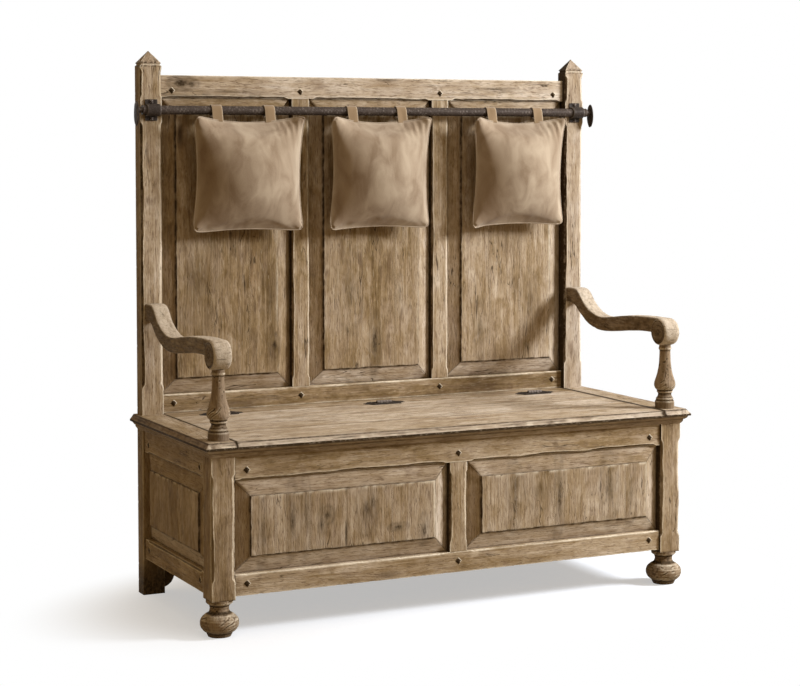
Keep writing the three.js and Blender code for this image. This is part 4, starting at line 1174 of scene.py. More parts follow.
lid_low, lid_high = node_box("lid")
lid_size = lid_high - lid_low
top_board("lid", lid_low[0] + spaced(lid_size[0], TOP_STEP), lid_low[1] + from_nose(lid_size[1]),
          lambda x, y: y - lid_low[1], 0, 201, body="lid", tint=0.12,
          boards=(lid_low[1] + 0.36 * lid_size[1], lid_low[1] + 0.7 * lid_size[1]))
strip_low, strip_high = node_box("top_back_strip")
strip_size = strip_high - strip_low
top_board("top_back_strip", strip_low[0] + spaced(strip_size[0], TOP_STEP),
          strip_low[1] + spaced(strip_size[1], TOP_STEP), lambda x, y: np.ones_like(x), 0, 211)
print("lid:", made["oak_lid"], "faces")

# %% End boards
def end_board(side, seed):
    """An end board has a nose at the front and one on its outer side, and is cut round the post."""
    name = f"top_end_{side}"
    low, high = node_box(name)
    post_low, post_high = node_box(f"rear_post_{side}")
    width, depth = high[0] - low[0], high[1] - low[1]
    out, outer, inner, post_outer = (1, high[0], low[0], post_high[0]) if side == "right" \
        else (-1, low[0], high[0], post_low[0])
    cut_line = post_low[1] - POST_GAP
    x = outer - out * from_nose(width)
    y = np.sort(np.concatenate([low[1] + from_nose(depth), [cut_line, cut_line + 0.1 * mm]]))

    def notch(x, y):
        share = np.abs(outer - x) / width
        short = outer - out * share * (abs(outer - post_outer) - POST_GAP)
        return np.where(y > cut_line + 0.05 * mm, short, x)

    top_board(name, x, y, lambda x, y: np.minimum(np.abs(outer - x), y - low[1]), 1, seed,
              tint=0.05, notch=notch, noses_inside=lambda x: np.abs(x - inner))


end_board("left", 221)
end_board("right", 231)
print("end boards:", made["oak_top_end_left"], "faces each")

# %% [markdown]
# A moulding is planed with a shaped iron, so it is one outline carried along a line. Under
# the top it turns the front corners in a mitre: each point of the outline runs as far as it
# stands out from the chest.

# %% Moulding
MOULDING_REACH = 15.4 * mm
MOULDING_HEIGHT = 21.7 * mm
MOULDING_SHARES = np.array([
    (1, 1), (0.99, 0.86), (0.83, 0.7), (0.64, 0.61), (0.64, 0.56), (0.4, 0.52), (0.38, 0.37),
    (0.27, 0.18), (0.12, 0.05), (0.06, 0)])
MITRE_GAP = 0.2 * mm
body_half = node_box("rear_post_right")[1][0]


def outline_points(shares, step):
    """Points along a broken line, a step apart, with its own corners kept."""
    result = [shares[0]]
    for start, end in zip(shares[:-1], shares[1:]):
        count = max(1, round(np.hypot(*(end - start)) / step))
        result += [start + (end - start) * k / count for k in range(1, count + 1)]
    return np.array(result)


def moulding(name, axis, start_rule, end_rule, outward, origin, seed):
    """The outline as a ring, carried between a start and an end that depend on its reach."""
    low, high = node_box(name)
    curve = outline_points(MOULDING_SHARES * np.array([MOULDING_REACH, MOULDING_HEIGHT]), 1.8 * mm)
    ring = np.concatenate([curve, np.array([(-5 * mm, 0), (-5 * mm, MOULDING_HEIGHT)])])
    share = spaced(1.0, 0.0045, close=(0.0, 0.001, 0.003))
    start, end = start_rule(ring[:, 0]), end_rule(ring[:, 0])
    along = start + share[:, None] * (end - start)
    spot = np.stack(np.broadcast_arrays(along, ring[:, 0], ring[:, 1]), -1)
    on_front = ring[:, 0] > 1 * mm
    sink = on_front * (0.5 * mm * (1 + noise(spot, (45 * mm, 9 * mm, 9 * mm), seed))
                       + 1.3 * mm * ramp(noise(spot, 9 * mm, seed + 1), 0.45, 0.9))
    rings = np.zeros(along.shape + (3,))
    rings[..., axis] = along
    rings[..., 1 - axis] = origin + outward * (ring[:, 0] - sink)
    rings[..., 2] = low[2] + ring[:, 1]
    level = ring[:, 1] / MOULDING_HEIGHT
    # Dark wax in the step halfway up, and a dark line at the top just under the nose: a painted shadow of
    # the nose.
    hollow_and_nose_shadow = bell(level, 0.54, 0.05) + bell(level, 0.97, 0.05)
    crest = bell(level, 0.84, 0.07) + 0.7 * bell(level, 0.44, 0.07)
    wander = 0.7 + 0.5 * noise(spot, 15 * mm, seed + 2)
    values = {"grain": grain_place(rings, axis, seed), "wear_and_highlight": (0.25 * crest * wander).clip(0, 1),
              "grime_and_shade": (0.7 * hollow_and_nose_shadow * wander).clip(0, 1)}
    loft("oak_" + name, rings, tinted(values, -0.03, 0.45), stands_for=(name,))


leg_face = node_box("front_leg_right")[0][1]
back_line = node_box("rear_post_right")[1][1]
moulding("moulding_front", 0, lambda out: -(body_half + out - MITRE_GAP),
         lambda out: body_half + out - MITRE_GAP, -1, leg_face, 241)
for side, out, seed in (("left", -1, 244), ("right", 1, 247)):
    moulding(f"moulding_side_{side}", 1, lambda reach: leg_face - reach + MITRE_GAP,
             lambda reach: np.full_like(reach, back_line), out, out * body_half, seed)
print("moulding:", made["oak_moulding_front"], "faces")

# %% [markdown]
# Turned work is a radius as a function of height, spun round an upright axis. The bun feet and the
# balusters were turned and then carved with slanting cuts, so the radius also dips along a
# band that climbs round the piece.

# %% Turned feet and balusters
FOOT_RADIUS = 50.3 * mm
FOOT_SHARES = np.array([
    (0, 0.585), (0.04, 0.63), (0.11, 0.68), (0.155, 0.815), (0.22, 0.92), (0.3, 0.985), (0.39, 1),
    (0.475, 0.96), (0.54, 0.87), (0.605, 0.725), (0.645, 0.575), (0.69, 0.52), (0.775, 0.49),
    (0.86, 0.525), (0.915, 0.69), (1, 0.69)])
BALUSTER_RADIUS = 30.5 * mm
BALUSTER_SHARES = np.array([
    (0, 0.9), (0.1, 0.9), (0.118, 0.86), (0.128, 0.76), (0.136, 0.82), (0.155, 0.82), (0.166, 0.72),
    (0.205, 0.62), (0.238, 0.62), (0.248, 0.74), (0.268, 0.74), (0.278, 0.69), (0.305, 0.87),
    (0.34, 0.975), (0.37, 1), (0.41, 0.975), (0.455, 0.89), (0.505, 0.79), (0.56, 0.7),
    (0.64, 0.61), (0.735, 0.55), (0.84, 0.52), (0.922, 0.51), (0.93, 0.585), (0.955, 0.59),
    (0.968, 0.54), (1, 0.54)])
TURN_COUNT = 72
TURN_STEP = 1.5 * mm
CLIMB = 60 * mm
CUT_DEPTH = 0.9 * mm
DENT_DEPTH = 1.2 * mm
TURNED_RIPPLE = 0.4 * mm


def turning(name, shares, radius, body_band, seed, tint, rounding, base_wax):
    """Spins a radius rule round the node's middle. body_band is the stretch of height, in
    shares, that is carved: there the radius dips where a climbing wave is low."""
    low, high = node_box(name)
    height = high[2] - low[2]
    rows = max(60, round(height / TURN_STEP))
    level = np.linspace(0, 1, rows)
    window = max(3, round(rounding / height * rows) | 1)
    reach = softened(np.interp(level, shares[:, 0], shares[:, 1]), window)
    level, turn = np.meshgrid(level, full_turn(TURN_COUNT), indexing="ij")
    reach = reach[:, None] * radius * np.ones_like(turn)
    centre = (low + high) / 2
    spot = np.stack([reach * np.cos(turn), reach * np.sin(turn), level * height], -1)
    start, end = body_band
    band = ramp(level, start, start + 0.05) * (1 - ramp(level, end - 0.05, end))
    climb = np.sin(9 * turn - 20 * level * height / CLIMB + 2.5 * noise(spot, 26 * mm, seed))
    cuts = band * ramp(climb, 0.6, 1.0) * ramp(noise(spot, 20 * mm, seed + 1), -0.1, 0.4)
    dents = ramp(noise(spot, (6 * mm, 6 * mm, 9 * mm), seed + 2), 0.4, 0.85)
    reach = reach - CUT_DEPTH * cuts - DENT_DEPTH * dents \
        - TURNED_RIPPLE * (1 + noise(spot, 17 * mm, seed + 3))
    rings = np.stack([centre[0] + reach * np.cos(turn), centre[1] + reach * np.sin(turn),
                      low[2] + level * height], -1)
    slope = np.gradient(reach, axis=0) / (height / rows)
    bend = np.gradient(slope, axis=0) / (height / rows)
    crest = 0.55 * ramp(-bend, 30, 160) * (0.6 + 0.5 * noise(spot, 12 * mm, seed + 4))
    values = {"grain": rings[..., [2, 0, 1]] + GRAIN_SHIFT * seed % 9, "wear_and_highlight": crest.clip(0, 1),
              "grime_and_shade": np.maximum.reduce([0.75 * ramp(bend, 25, 140), 0.2 * cuts, 0.55 * dents,
                                        base_wax * (1 - ramp(level, 0.1, 0.26))]).clip(0, 1)}
    loft("oak_" + name, rings, tinted(values, tint, 0.6), stands_for=(name,))


for side, seed, tint in (("left", 251, -0.12), ("right", 257, -0.24)):
    turning(f"bun_foot_{side}", FOOT_SHARES, FOOT_RADIUS, (0.12, 0.6), seed, tint, 5 * mm, 0.35)
    turning(f"arm_baluster_{side}", BALUSTER_SHARES, BALUSTER_RADIUS, (0.29, 0.5), seed + 20,
            -0.08, 2.6 * mm, 0.3)
print("turned pieces:", made["oak_bun_foot_left"], made["oak_arm_baluster_left"], "faces")

# %% [markdown]
# Beside each rear foot a shaped bracket fills the corner under the rail. It is a flat board whose
# lower edge follows a curve, so its grid runs from that curve up to the rail.

# %% Rear brackets
BRACKET_SHARES = np.array([
    (0, 0), (0.06, 0), (0.2, 0.05), (0.33, 0.14), (0.42, 0.27), (0.47, 0.42), (0.53, 0.47), (0.56, 0.62),
    (0.66, 0.77), (0.82, 0.88), (1, 0.93)])


def rear_bracket(side, seed):
    """Each column of the grid runs from the lower curve to the straight top."""
    name = f"rear_bracket_{side}"
    low, high = node_box(name)
    out, inner = (1, high[0]) if side == "right" else (-1, low[0])
    share, rise = np.meshgrid(np.linspace(0, 1, 40), np.linspace(0, 1, 24), indexing="ij")
    foot = low[2] + np.interp(share, BRACKET_SHARES[:, 0], BRACKET_SHARES[:, 1]) * (high[2] - low[2])
    x = inner - out * share * (high[0] - low[0])
    z = foot + rise * (high[2] - foot)
    wave = 0.4 * mm * (1 + noise(np.stack([x, z, np.full_like(x, seed)], -1), 15 * mm, seed))
    front = np.stack([x, low[1] + wave, z], -1)
    back = np.stack([x, np.full_like(x, high[1]), z], -1)
    # The bracket is painted darker all over: a painted shade, as it stands in shadow under the rail.
    values = tinted({"grain": grain_place(front, 0, seed), "wear_and_highlight": 0.2 * np.exp(-rise * 14),
                     "grime_and_shade": np.full_like(x, 0.5)}, -0.12)
    slab("oak_" + name, front, back, values, dict(values, grain=grain_place(back, 0, seed)),
         stands_for=(name,))


rear_bracket("left", 261)
rear_bracket("right", 263)
print("brackets:", made["oak_rear_bracket_left"], "faces each")

# %% [markdown]
# An arm falls from the post in a curve, runs forwards and ends in a scroll over its baluster. It was
# sawn from a plank and rounded over, so it is a rounded rectangle carried along y, whose top and
# bottom are two smooth curves. The scroll is a thick disc with a spiral cut into each side.

# %% Arms
ARM_RISE = 307 * mm
ARM_WIDTH = 49 * mm
SCROLL_RADIUS = 38.5 * mm
SCROLL_EDGE = 6 * mm
SCROLL_BARREL = 13 * mm
ARM_SHARES = np.array([
    (0, 0.997, 0.85), (0.06, 1, 0.849), (0.1, 0.997, 0.826), (0.13, 0.975, 0.786),
    (0.165, 0.909, 0.739), (0.21, 0.847, 0.696), (0.27, 0.796, 0.653), (0.34, 0.762, 0.627),
    (0.41, 0.756, 0.621), (0.49, 0.77, 0.629), (0.58, 0.79, 0.643), (0.68, 0.808, 0.663),
    (0.78, 0.818, 0.676), (0.88, 0.823, 0.682), (1, 0.823, 0.684)])
ARM_ROWS = 130
ARM_SOFTENING = 7
seat = node_box("lid")[1][2]
leg_low, leg_high = node_box("front_leg_right")
arm_front = (leg_low[1] + leg_high[1]) / 2
scroll_height = seat + ARM_SHARES[-1, 1] * ARM_RISE - SCROLL_RADIUS
arm_seat = node_box("arm_right")[0][2]


def rounded_ring(count, roundness):
    """A square with round corners as directions: a superellipse of unit size."""
    turn = full_turn(count)
    across, up = np.cos(turn), np.sin(turn)
    size = (np.abs(across) ** roundness + np.abs(up) ** roundness) ** (-1 / roundness)
    return across * size, up * size


def arm(side, seed):
    """The band of the arm, as a loft along y. Its top and bottom are straight pieces between the
    shares, softened by a running mean. Its skin is sunk by a ripple and by nicks."""
    name = f"arm_{side}"
    low, high = node_box(name)
    centre = middle_of(name)
    place = np.linspace(0, 1, ARM_ROWS)
    top, bottom = [seat + ARM_RISE * softened(np.interp(place, ARM_SHARES[:, 0], column), ARM_SOFTENING)
                   for column in ARM_SHARES[:, 1:].T]
    across, up = rounded_ring(72, 9)
    rings = np.zeros((ARM_ROWS, len(across), 3))
    rings[..., 0] = centre + (ARM_WIDTH / 2 - 0.5 * mm) * across
    rings[..., 1] = (high[1] + place * (arm_front - high[1]))[:, None]
    rings[..., 2] = ((top + bottom) / 2)[:, None] + (top - bottom)[:, None] / 2 * up
    spot = rings - np.array([centre, 0, 0])
    nick = ramp(noise(spot, 10 * mm, seed), 0.35, 0.9)
    sunk = 0.5 * mm * (1 + noise(spot, (20 * mm, 60 * mm, 20 * mm), seed + 1)) + 1.2 * mm * nick
    rings[..., 0] -= sunk * across
    rings[..., 2] -= sunk * up
    fine = noise(spot, (5 * mm, 16 * mm, 5 * mm), seed + 2)
    corner = bell(np.abs(across), 0.93, 0.07) * bell(np.abs(up), 0.93, 0.07)
    side_line = bell(np.abs(up), 0.93, 0.05) * (np.abs(across) > 0.9)
    # The flat sides are painted dark, a painted shade. The top is painted paler and greyer: wear from
    # hands, and painted light from above.
    sides = ramp(np.abs(across), 0.9, 0.97)[None] * (1 - ramp(np.abs(up), 0.86, 0.98))[None]
    on_top = ramp(up, 0.9, 0.98)[None]
    wear_and_highlight = np.maximum(0.5 * corner * (0.7 + 0.5 * fine), 0.3 * on_top * (0.9 + 0.5 * fine))
    grime_and_shade = np.maximum.reduce([0.75 * side_line * (0.6 + 0.6 * fine), 0.25 * nick * ramp(np.abs(up), 0.9, 1),
                             0.6 * np.exp(-place[:, None] * 90) + 0 * fine,
                             0.55 * sides * (0.8 + 0.4 * fine)])
    values = {"grain": grain_place(rings, 1, seed), "wear_and_highlight": wear_and_highlight.clip(0, 1), "grime_and_shade": grime_and_shade.clip(0, 1)}
    loft("oak_" + name, rings, tinted(values, 0.02 + 0.19 * on_top, 0.8 * (1 - sides)), stands_for=(name,))


print("arm helper ready")

# %% Scrolls
VOLUTE_TURNS = 1.35
VOLUTE_START = 0.9
VOLUTE_SHRINK = 0.52
GROOVE_WIDTH = 1.5 * mm
EYE_RADIUS = 6 * mm
FACE_RINGS = 23
RIM_RINGS = 8


def scroll(side, seed):
    """The roll at the front: rings of a disc from one face's middle, over the rim, to the other
    face's middle. On the faces a groove follows a spiral whose radius shrinks with the angle."""
    centre = middle_of(f"arm_{side}")
    half = ARM_WIDTH / 2 + 0.4 * mm
    face = np.concatenate([[0.6 * mm], np.linspace(2.4 * mm, SCROLL_RADIUS - SCROLL_EDGE, FACE_RINGS - 1)])
    bend = np.linspace(0, pi / 2, 6)[1:]
    rim_reach = SCROLL_RADIUS - SCROLL_EDGE + SCROLL_EDGE * np.sin(bend)
    rim_half = half - SCROLL_BARREL + SCROLL_BARREL * np.cos(bend)
    across_rim = np.linspace(half - SCROLL_BARREL, SCROLL_BARREL - half, RIM_RINGS + 2)[1:-1]
    reach = np.concatenate([face, rim_reach, np.full(RIM_RINGS, SCROLL_RADIUS), rim_reach[::-1],
                            face[::-1]])
    width = np.concatenate([np.full(FACE_RINGS, half), rim_half, across_rim, -rim_half[::-1],
                            np.full(FACE_RINGS, -half)])
    reach, width, turn = np.broadcast_arrays(reach[:, None], width[:, None], full_turn(96)[None])
    on_face = np.abs(width) > half - 0.1 * mm
    groove = bell(reach, EYE_RADIUS, 1.6 * mm)
    lap = np.mod(turn - 0.9 * pi, 2 * pi) / (2 * pi)
    for travelled in (lap, lap + 1):
        spiral = (VOLUTE_START - VOLUTE_SHRINK * travelled) * SCROLL_RADIUS
        shown = (travelled < VOLUTE_TURNS) & (spiral > 0.16 * SCROLL_RADIUS)
        groove = np.maximum(groove, shown * bell(reach, spiral, GROOVE_WIDTH))
    groove = groove * on_face
    spot = np.stack([width, reach * np.cos(turn), reach * np.sin(turn)], -1)
    sunk = 0.5 * mm * (1 + noise(spot, 18 * mm, seed)) \
        + 1.1 * mm * ramp(noise(spot, (14 * mm, 8 * mm, 8 * mm), seed + 1), 0.5, 0.9)
    out = np.where(on_face, reach, reach - sunk)
    x = centre + width - np.sign(width) * (1.6 * mm * groove + 0.4 * sunk * on_face)
    z = np.maximum(scroll_height + out * np.sin(turn), arm_seat)
    rings = np.stack([x, arm_front - out * np.cos(turn), z], -1)
    cracks = ramp(noise(spot, (30 * mm, 3.5 * mm, 3.5 * mm), seed + 2), 0.5, 0.8) * ~on_face
    edge = bell(reach, SCROLL_RADIUS - 1.5 * mm, 1.5 * mm) * (np.abs(width) > half - 5 * mm)
    face_edge = bell(reach, SCROLL_RADIUS - SCROLL_EDGE - 1 * mm, 1.3 * mm)
    # The flat faces of the scroll are painted dark, a painted shade, with dark wax in the groove. The rim
    # is paler and greyer: wear, and painted light from above.
    grime_and_shade = np.maximum.reduce([0.9 * groove, 0.5 * cracks, (0.45 + 0.4 * face_edge) * on_face])
    values = {"grain": rings[..., [1, 0, 2]] + 2.3, "wear_and_highlight": np.maximum(0.45 * edge, 0.25 * ~on_face),
              "grime_and_shade": grime_and_shade}
    loft(f"oak_scroll_{side}", rings, tinted(values, 0.02 + 0.17 * ~on_face, 0.8 * ~on_face))


for side, seed in (("left", 271), ("right", 281)):
    arm(side, seed)
    scroll(side, seed + 5)
print("arm:", made["oak_arm_left"], "scroll:", made["oak_scroll_left"], "faces")

# %% [markdown]
# Two pieces of the chest are seen only with the lid open or from behind: its floor and its back
# panel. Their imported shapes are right, so they stay and take sawn oak.

# %% Inner boards
for name in ("chest_floor", "box_back_panel"):
    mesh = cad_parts[name].data
    mesh.materials.clear()
    mesh.materials.append(plain_oak)
print("inner boards finished")

# %% [markdown]
# The rod was forged round and then hammered, so shallow facets wind along it. Its radius dips
# where a slanted wave is low. Each end is drawn down to a neck and beaten out to a flat oval.

# %% Rod
ROD_RADIUS = 12.7 * mm
NECK_RADIUS = 8 * mm
NECK_LENGTH = 12.5 * mm
PADDLE_THICKNESS = 6.5 * mm
PADDLE_WIDTH = 34 * mm
PADDLE_HEIGHT = 71 * mm
PADDLE_DROP = 9.5 * mm
HAMMER_PITCH = 10 * mm
HAMMER_DEPTH = 0.42 * mm
FACET_DEPTH = 0.25 * mm
rod_low, rod_high = node_box("hanging_rod")
rod_z = rod_high[2] - PADDLE_HEIGHT / 2 + PADDLE_DROP
rod_y = (rod_low[1] + rod_high[1]) / 2


def iron_values(wear_and_highlight, soot=0.0):
    """Iron reads its wear and the soot that darkens it."""
    return {"wear_and_highlight": wear_and_highlight.clip(0, 1), "grime_and_shade": np.full(wear_and_highlight.shape, soot)}


def rod():
    """Rings of a hammered round bar along x, with a shoulder down to each neck. The radius dips
    by a wave that winds round the bar, and by noise."""
    bar = body_half - 0.4 * mm
    tip = body_half + NECK_LENGTH + 0.5 * mm
    x = np.concatenate([[-tip, -bar - 3 * mm, -bar - 0.2 * mm], -bar + spaced(2 * bar, 3.6 * mm),
                        [bar + 0.2 * mm, bar + 3 * mm, tip]])
    reach = np.where(np.abs(x) > bar + 0.1 * mm, NECK_RADIUS, ROD_RADIUS)
    x, turn = np.meshgrid(x, full_turn(40), indexing="ij")
    reach = reach[:, None] * np.ones_like(turn)
    spot = np.stack([x, reach * np.cos(turn), reach * np.sin(turn)], -1)
    wind = np.sin(2 * pi * x / HAMMER_PITCH + 3 * turn + 1.2 * noise(spot, 20 * mm, 301))
    facet = noise(spot, (9 * mm, 8 * mm, 8 * mm), 302)
    inside = np.abs(x) < bar - 4 * mm
    reach = reach - inside * (HAMMER_DEPTH * (1 + wind) + FACET_DEPTH * (1 + facet))
    rings = np.stack([x, rod_y + reach * np.cos(turn), rod_z + reach * np.sin(turn)], -1)
    # The crests of the hammered facets are pale: wear, and painted highlights.
    loft("iron_rod", rings, iron_values(0.22 * ramp(wind + facet, 0.7, 1.6)), body="rod",
         material=iron, stands_for=("hanging_rod",))


def paddle(side, seed):
    """A flat oval whose edge is rounded: rings of an ellipse that swell and shrink along x."""
    lift = np.array([0, 0, 0.12, 0.35, 0.65, 0.88, 1, 1])
    size = np.array([0.02, 0.72, 0.9, 0.985, 0.985, 0.9, 0.72, 0.02])[:, None]
    lift, turn = np.meshgrid(lift, full_turn(56), indexing="ij")
    spot = np.stack([lift, np.cos(turn), np.sin(turn)], -1)
    wave = 1 - 0.035 * (1 + noise(spot, 0.45, seed)) * (size > 0.5)
    y = rod_y + PADDLE_WIDTH / 2 * size * wave * np.cos(turn)
    z = rod_z - PADDLE_DROP + PADDLE_HEIGHT / 2 * size * wave * np.sin(turn)
    x = side * (body_half + NECK_LENGTH + lift * PADDLE_THICKNESS)
    rim = bell(lift, 0.9, 0.12) * (size > 0.85)
    wear_and_highlight = rim * (0.6 + 0.5 * noise(spot, 0.3, seed + 1)) * (lift > 0)
    loft(f"iron_paddle_{'right' if side > 0 else 'left'}", np.stack([x, y, z], -1),
         iron_values(wear_and_highlight, 0.45), body="rod", material=iron)


rod()
paddle(-1, 311)
paddle(1, 315)
print("rod:", made["iron_rod"], "faces")

# %% [markdown]
# Each rod bracket is a plate nailed to the post and a strap bent over the rod. The strap is a band
# carried along an arch, and the nails have square heads that rise to a point.

# %% Rod brackets
PLATE_WIDTH = 36 * mm
PLATE_HEIGHT = 58 * mm
PLATE_THICKNESS = 2.5 * mm
PLATE_CUT = 0.9 * mm
SADDLE_WIDTH = 38 * mm
SADDLE_THICKNESS = 4 * mm
NAIL_RADIUS = 5.4 * mm
NAIL_PROUD = 4 * mm
NAIL_SPREAD = 23 * mm
post_centre = (post_inner + body_half) / 2
post_face = node_box("rear_post_right")[0][1]


def plate(name, low, high, seed, stands_for=()):
    """A thin box with rounded corners and a hammered face, as timber rings of iron."""
    rings, values = timber_rings(np.array(low), np.array(high), 2, (PLATE_CUT,) * 4, seed=seed,
                                 ripple=0.4 * mm, chips=0.3, step=3.5 * mm)
    edge = np.minimum(rings[..., 2] - low[2], high[2] - rings[..., 2])
    middle = (low[0] + high[0]) / 2
    rings[..., 0] += np.sign(middle - rings[..., 0]) * 1.6 * mm * fade(edge, 1.2 * mm)
    loft(name, rings, iron_values(0.4 * values["wear_and_highlight"], 0.5), material=iron, stands_for=stands_for)


def strap(name, centre, seed):
    """A band round the front of the rod: outer arc, then inner arc back, each with its feet on
    the post, carried along x."""
    inner = ROD_RADIUS + 0.4 * mm
    outer = inner + SADDLE_THICKNESS - 0.1 * mm
    angle = np.linspace(0, pi, 30)
    foot = post_face - 0.4 * mm - PLATE_THICKNESS
    lines = []
    for reach, angles in ((outer, angle), (inner, angle[::-1])):
        arc = np.stack([rod_y - reach * np.sin(angles), rod_z + reach * np.cos(angles)], -1)
        lines += [[(foot, arc[0, 1])], arc, [(foot, arc[-1, 1])]]
    ring = np.concatenate(lines)
    outside = np.repeat([1.0, 0.0], len(angle) + 2)
    x = centre - SADDLE_WIDTH / 2 + spaced(SADDLE_WIDTH, 3 * mm, close=(0.0, 0.7 * mm, 1.8 * mm))
    edge = np.minimum(x - x[0], x[-1] - x)[:, None]
    way = ring - np.array([rod_y, rod_z])
    way = way / np.linalg.norm(way, axis=-1, keepdims=True)
    spot = np.stack(np.broadcast_arrays(x[:, None], ring[:, 0], ring[:, 1]), -1)
    sink = outside * (1.1 * mm * fade(edge, 0.8 * mm) + 0.35 * mm * (1 + noise(spot, 9 * mm, seed)))
    rings = spot.copy()
    rings[..., 1:] -= sink[..., None] * way
    wear_and_highlight = 0.55 * fade(edge, EDGE_REACH) * outside
    loft(name, rings, iron_values(wear_and_highlight, 0.35), material=iron)


def nail(name, centre, normal_axis, sign, radius, proud, seed, body="bench"):
    """A hand-made nail head: square rings with softened corners that rise to a point."""
    across, up = rounded_ring(24, 5)
    size = np.array([1, 1, 0.92, 0.7, 0.45, 0.22, 0.05])[:, None]
    lift = np.array([-0.3, 0.22, 0.36, 0.58, 0.8, 0.95, 1.0])[:, None]
    rings = np.zeros((7, 24, 3))
    sway = 1 + 0.06 * waves(np.arange(24) * 0.4, 1.0, seed)
    others = [axis for axis in range(3) if axis != normal_axis]
    for axis, way in zip(others, (across, up)):
        rings[..., axis] = centre[axis] + radius * size * way * sway
    rings[..., normal_axis] = centre[normal_axis] + sign * proud * lift
    ridge = bell(np.abs(across), np.abs(up), 0.12)
    loft(name, rings, iron_values(0.45 * ridge * (lift > 0.3)), body=body, material=iron)


for side, out, seed in (("left", -1, 321), ("right", 1, 331)):
    centre = out * post_centre
    back = post_face - 0.3 * mm
    plate(f"iron_plate_{side}",
          (centre - PLATE_WIDTH / 2, back - PLATE_THICKNESS, rod_z - PLATE_HEIGHT / 2),
          (centre + PLATE_WIDTH / 2, back, rod_z + PLATE_HEIGHT / 2), seed,
          stands_for=(f"rod_bracket_{side}",))
    strap(f"iron_strap_{side}", centre, seed + 2)
    for up, title in ((-1, "lower"), (1, "upper")):
        nail(f"nail_{side}_{title}", (centre, back - PLATE_THICKNESS + 0.3 * mm, rod_z + up * NAIL_SPREAD),
             1, -1, NAIL_RADIUS, NAIL_PROUD, seed + 5 + up)
print("rod brackets:", sum(1 for name in made if name.startswith("iron_")), "iron pieces so far")

# %% [markdown]
# The hinges lie on the boards. A leaf is a flat plate that tapers away from the line of the pin.
# Its knuckles are short barrels with rounded ends, three on the fixed leaf and two on the lid's.

# %% Hinges
LEAF_DEPTH = 24 * mm
LEAF_THICKNESS = 2.2 * mm
LEAF_SHAPE = np.array([(4.8, 63.5), (9, 50), (24, 44)]) * mm
LEAF_NAILS = ((0.42, 0.5), (0.42, -0.5), (0.7, 0.0), (0.7, 0.84), (0.7, -0.84))
LEAF_NAIL_RADIUS = 3.1 * mm
LEAF_NAIL_PROUD = 1.9 * mm
LEAF_SOOT = 0.75
KNUCKLE_RADIUS = 4.5 * mm
KNUCKLE_ZONE = 46 * mm
KNUCKLES = 5
hinge_y = node_box("hinge_fixed_leaf_left")[0][1] + KNUCKLE_RADIUS
leaf_foot = seat + 0.3 * mm
hinge_z = leaf_foot + KNUCKLE_RADIUS


def leaf(name, body, centre, side, seed):
    """Half the width is a broken line over the distance from the pin. The top is hammered."""
    away, share = np.meshgrid(np.linspace(LEAF_SHAPE[0, 0], LEAF_DEPTH, 12), np.linspace(-1, 1, 48),
                              indexing="ij")
    half = np.interp(away, LEAF_SHAPE[:, 0], LEAF_SHAPE[:, 1])
    x = centre + half * share
    y = hinge_y + side * away
    spot = np.stack([x, y, np.full_like(x, seed)], -1)
    edge = np.minimum.reduce([(1 - np.abs(share)) * half, away - LEAF_SHAPE[0, 0], LEAF_DEPTH - away])
    top = leaf_foot + LEAF_THICKNESS - 0.9 * mm * fade(edge, 0.8 * mm) \
        - 0.15 * mm * (1 + noise(spot, 8 * mm, seed))
    wear_and_highlight = 0.4 * fade(edge, EDGE_REACH)
    slab(name, np.stack([x, y, top], -1), np.stack([x, y, np.full_like(x, leaf_foot)], -1),
         iron_values(wear_and_highlight, LEAF_SOOT), iron_values(0 * wear_and_highlight, LEAF_SOOT), body=body, material=iron,
         stands_for=(name.replace("iron_", ""),))
    for place, across in LEAF_NAILS:
        nail(f"{name}_nail_{round(across * 100 + 100)}",
             (centre + across * 42 * mm, hinge_y + side * place * LEAF_DEPTH,
              leaf_foot + LEAF_THICKNESS - 0.3 * mm), 2, 1, LEAF_NAIL_RADIUS, LEAF_NAIL_PROUD, seed, body)


def knuckle(name, body, centre, length, side):
    """A short barrel with rounded ends, and the tongue that joins it to its leaf."""
    level = np.array([0, 0.02, 0.07, 0.15, 0.85, 0.93, 0.98, 1])[:, None]
    size = np.array([0.55, 0.85, 0.97, 1, 1, 0.97, 0.85, 0.55])[:, None]
    turn = full_turn(28)
    reach = KNUCKLE_RADIUS * size
    toward = (np.cos(turn) * side > -0.2) & (np.sin(turn) < -0.55)
    y = np.where(toward, hinge_y + side * 6.2 * mm, hinge_y + reach * np.cos(turn))
    z = hinge_z + reach * np.sin(turn)
    z = np.where(toward, np.maximum(z, seat + 0.35 * mm), z)
    rings = np.stack(np.broadcast_arrays(centre + (level - 0.5) * length, y, z), -1)
    wear_and_highlight = 0.45 * bell(size, 0.97, 0.05) * np.ones(28)
    loft(name, rings, iron_values(wear_and_highlight), body=body, material=iron)


pitch = KNUCKLE_ZONE / KNUCKLES
for number, title in enumerate(("left", "centre", "right")):
    centre = middle_of(f"hinge_fixed_leaf_{title}")
    leaf(f"iron_hinge_fixed_leaf_{title}", "bench", centre, 1, 341 + number)
    leaf(f"iron_hinge_lid_leaf_{title}", "lid", centre, -1, 351 + number)
    for k in range(KNUCKLES):
        body, side = ("bench", 1) if k % 2 == 0 else ("lid", -1)
        knuckle(f"knuckle_{title}_{k}", body, centre + (k - 2) * pitch, pitch - 0.4 * mm, side)
print("iron pieces:", sum(1 for name in made if "iron" in name or "nail" in name or "knuckle" in name))

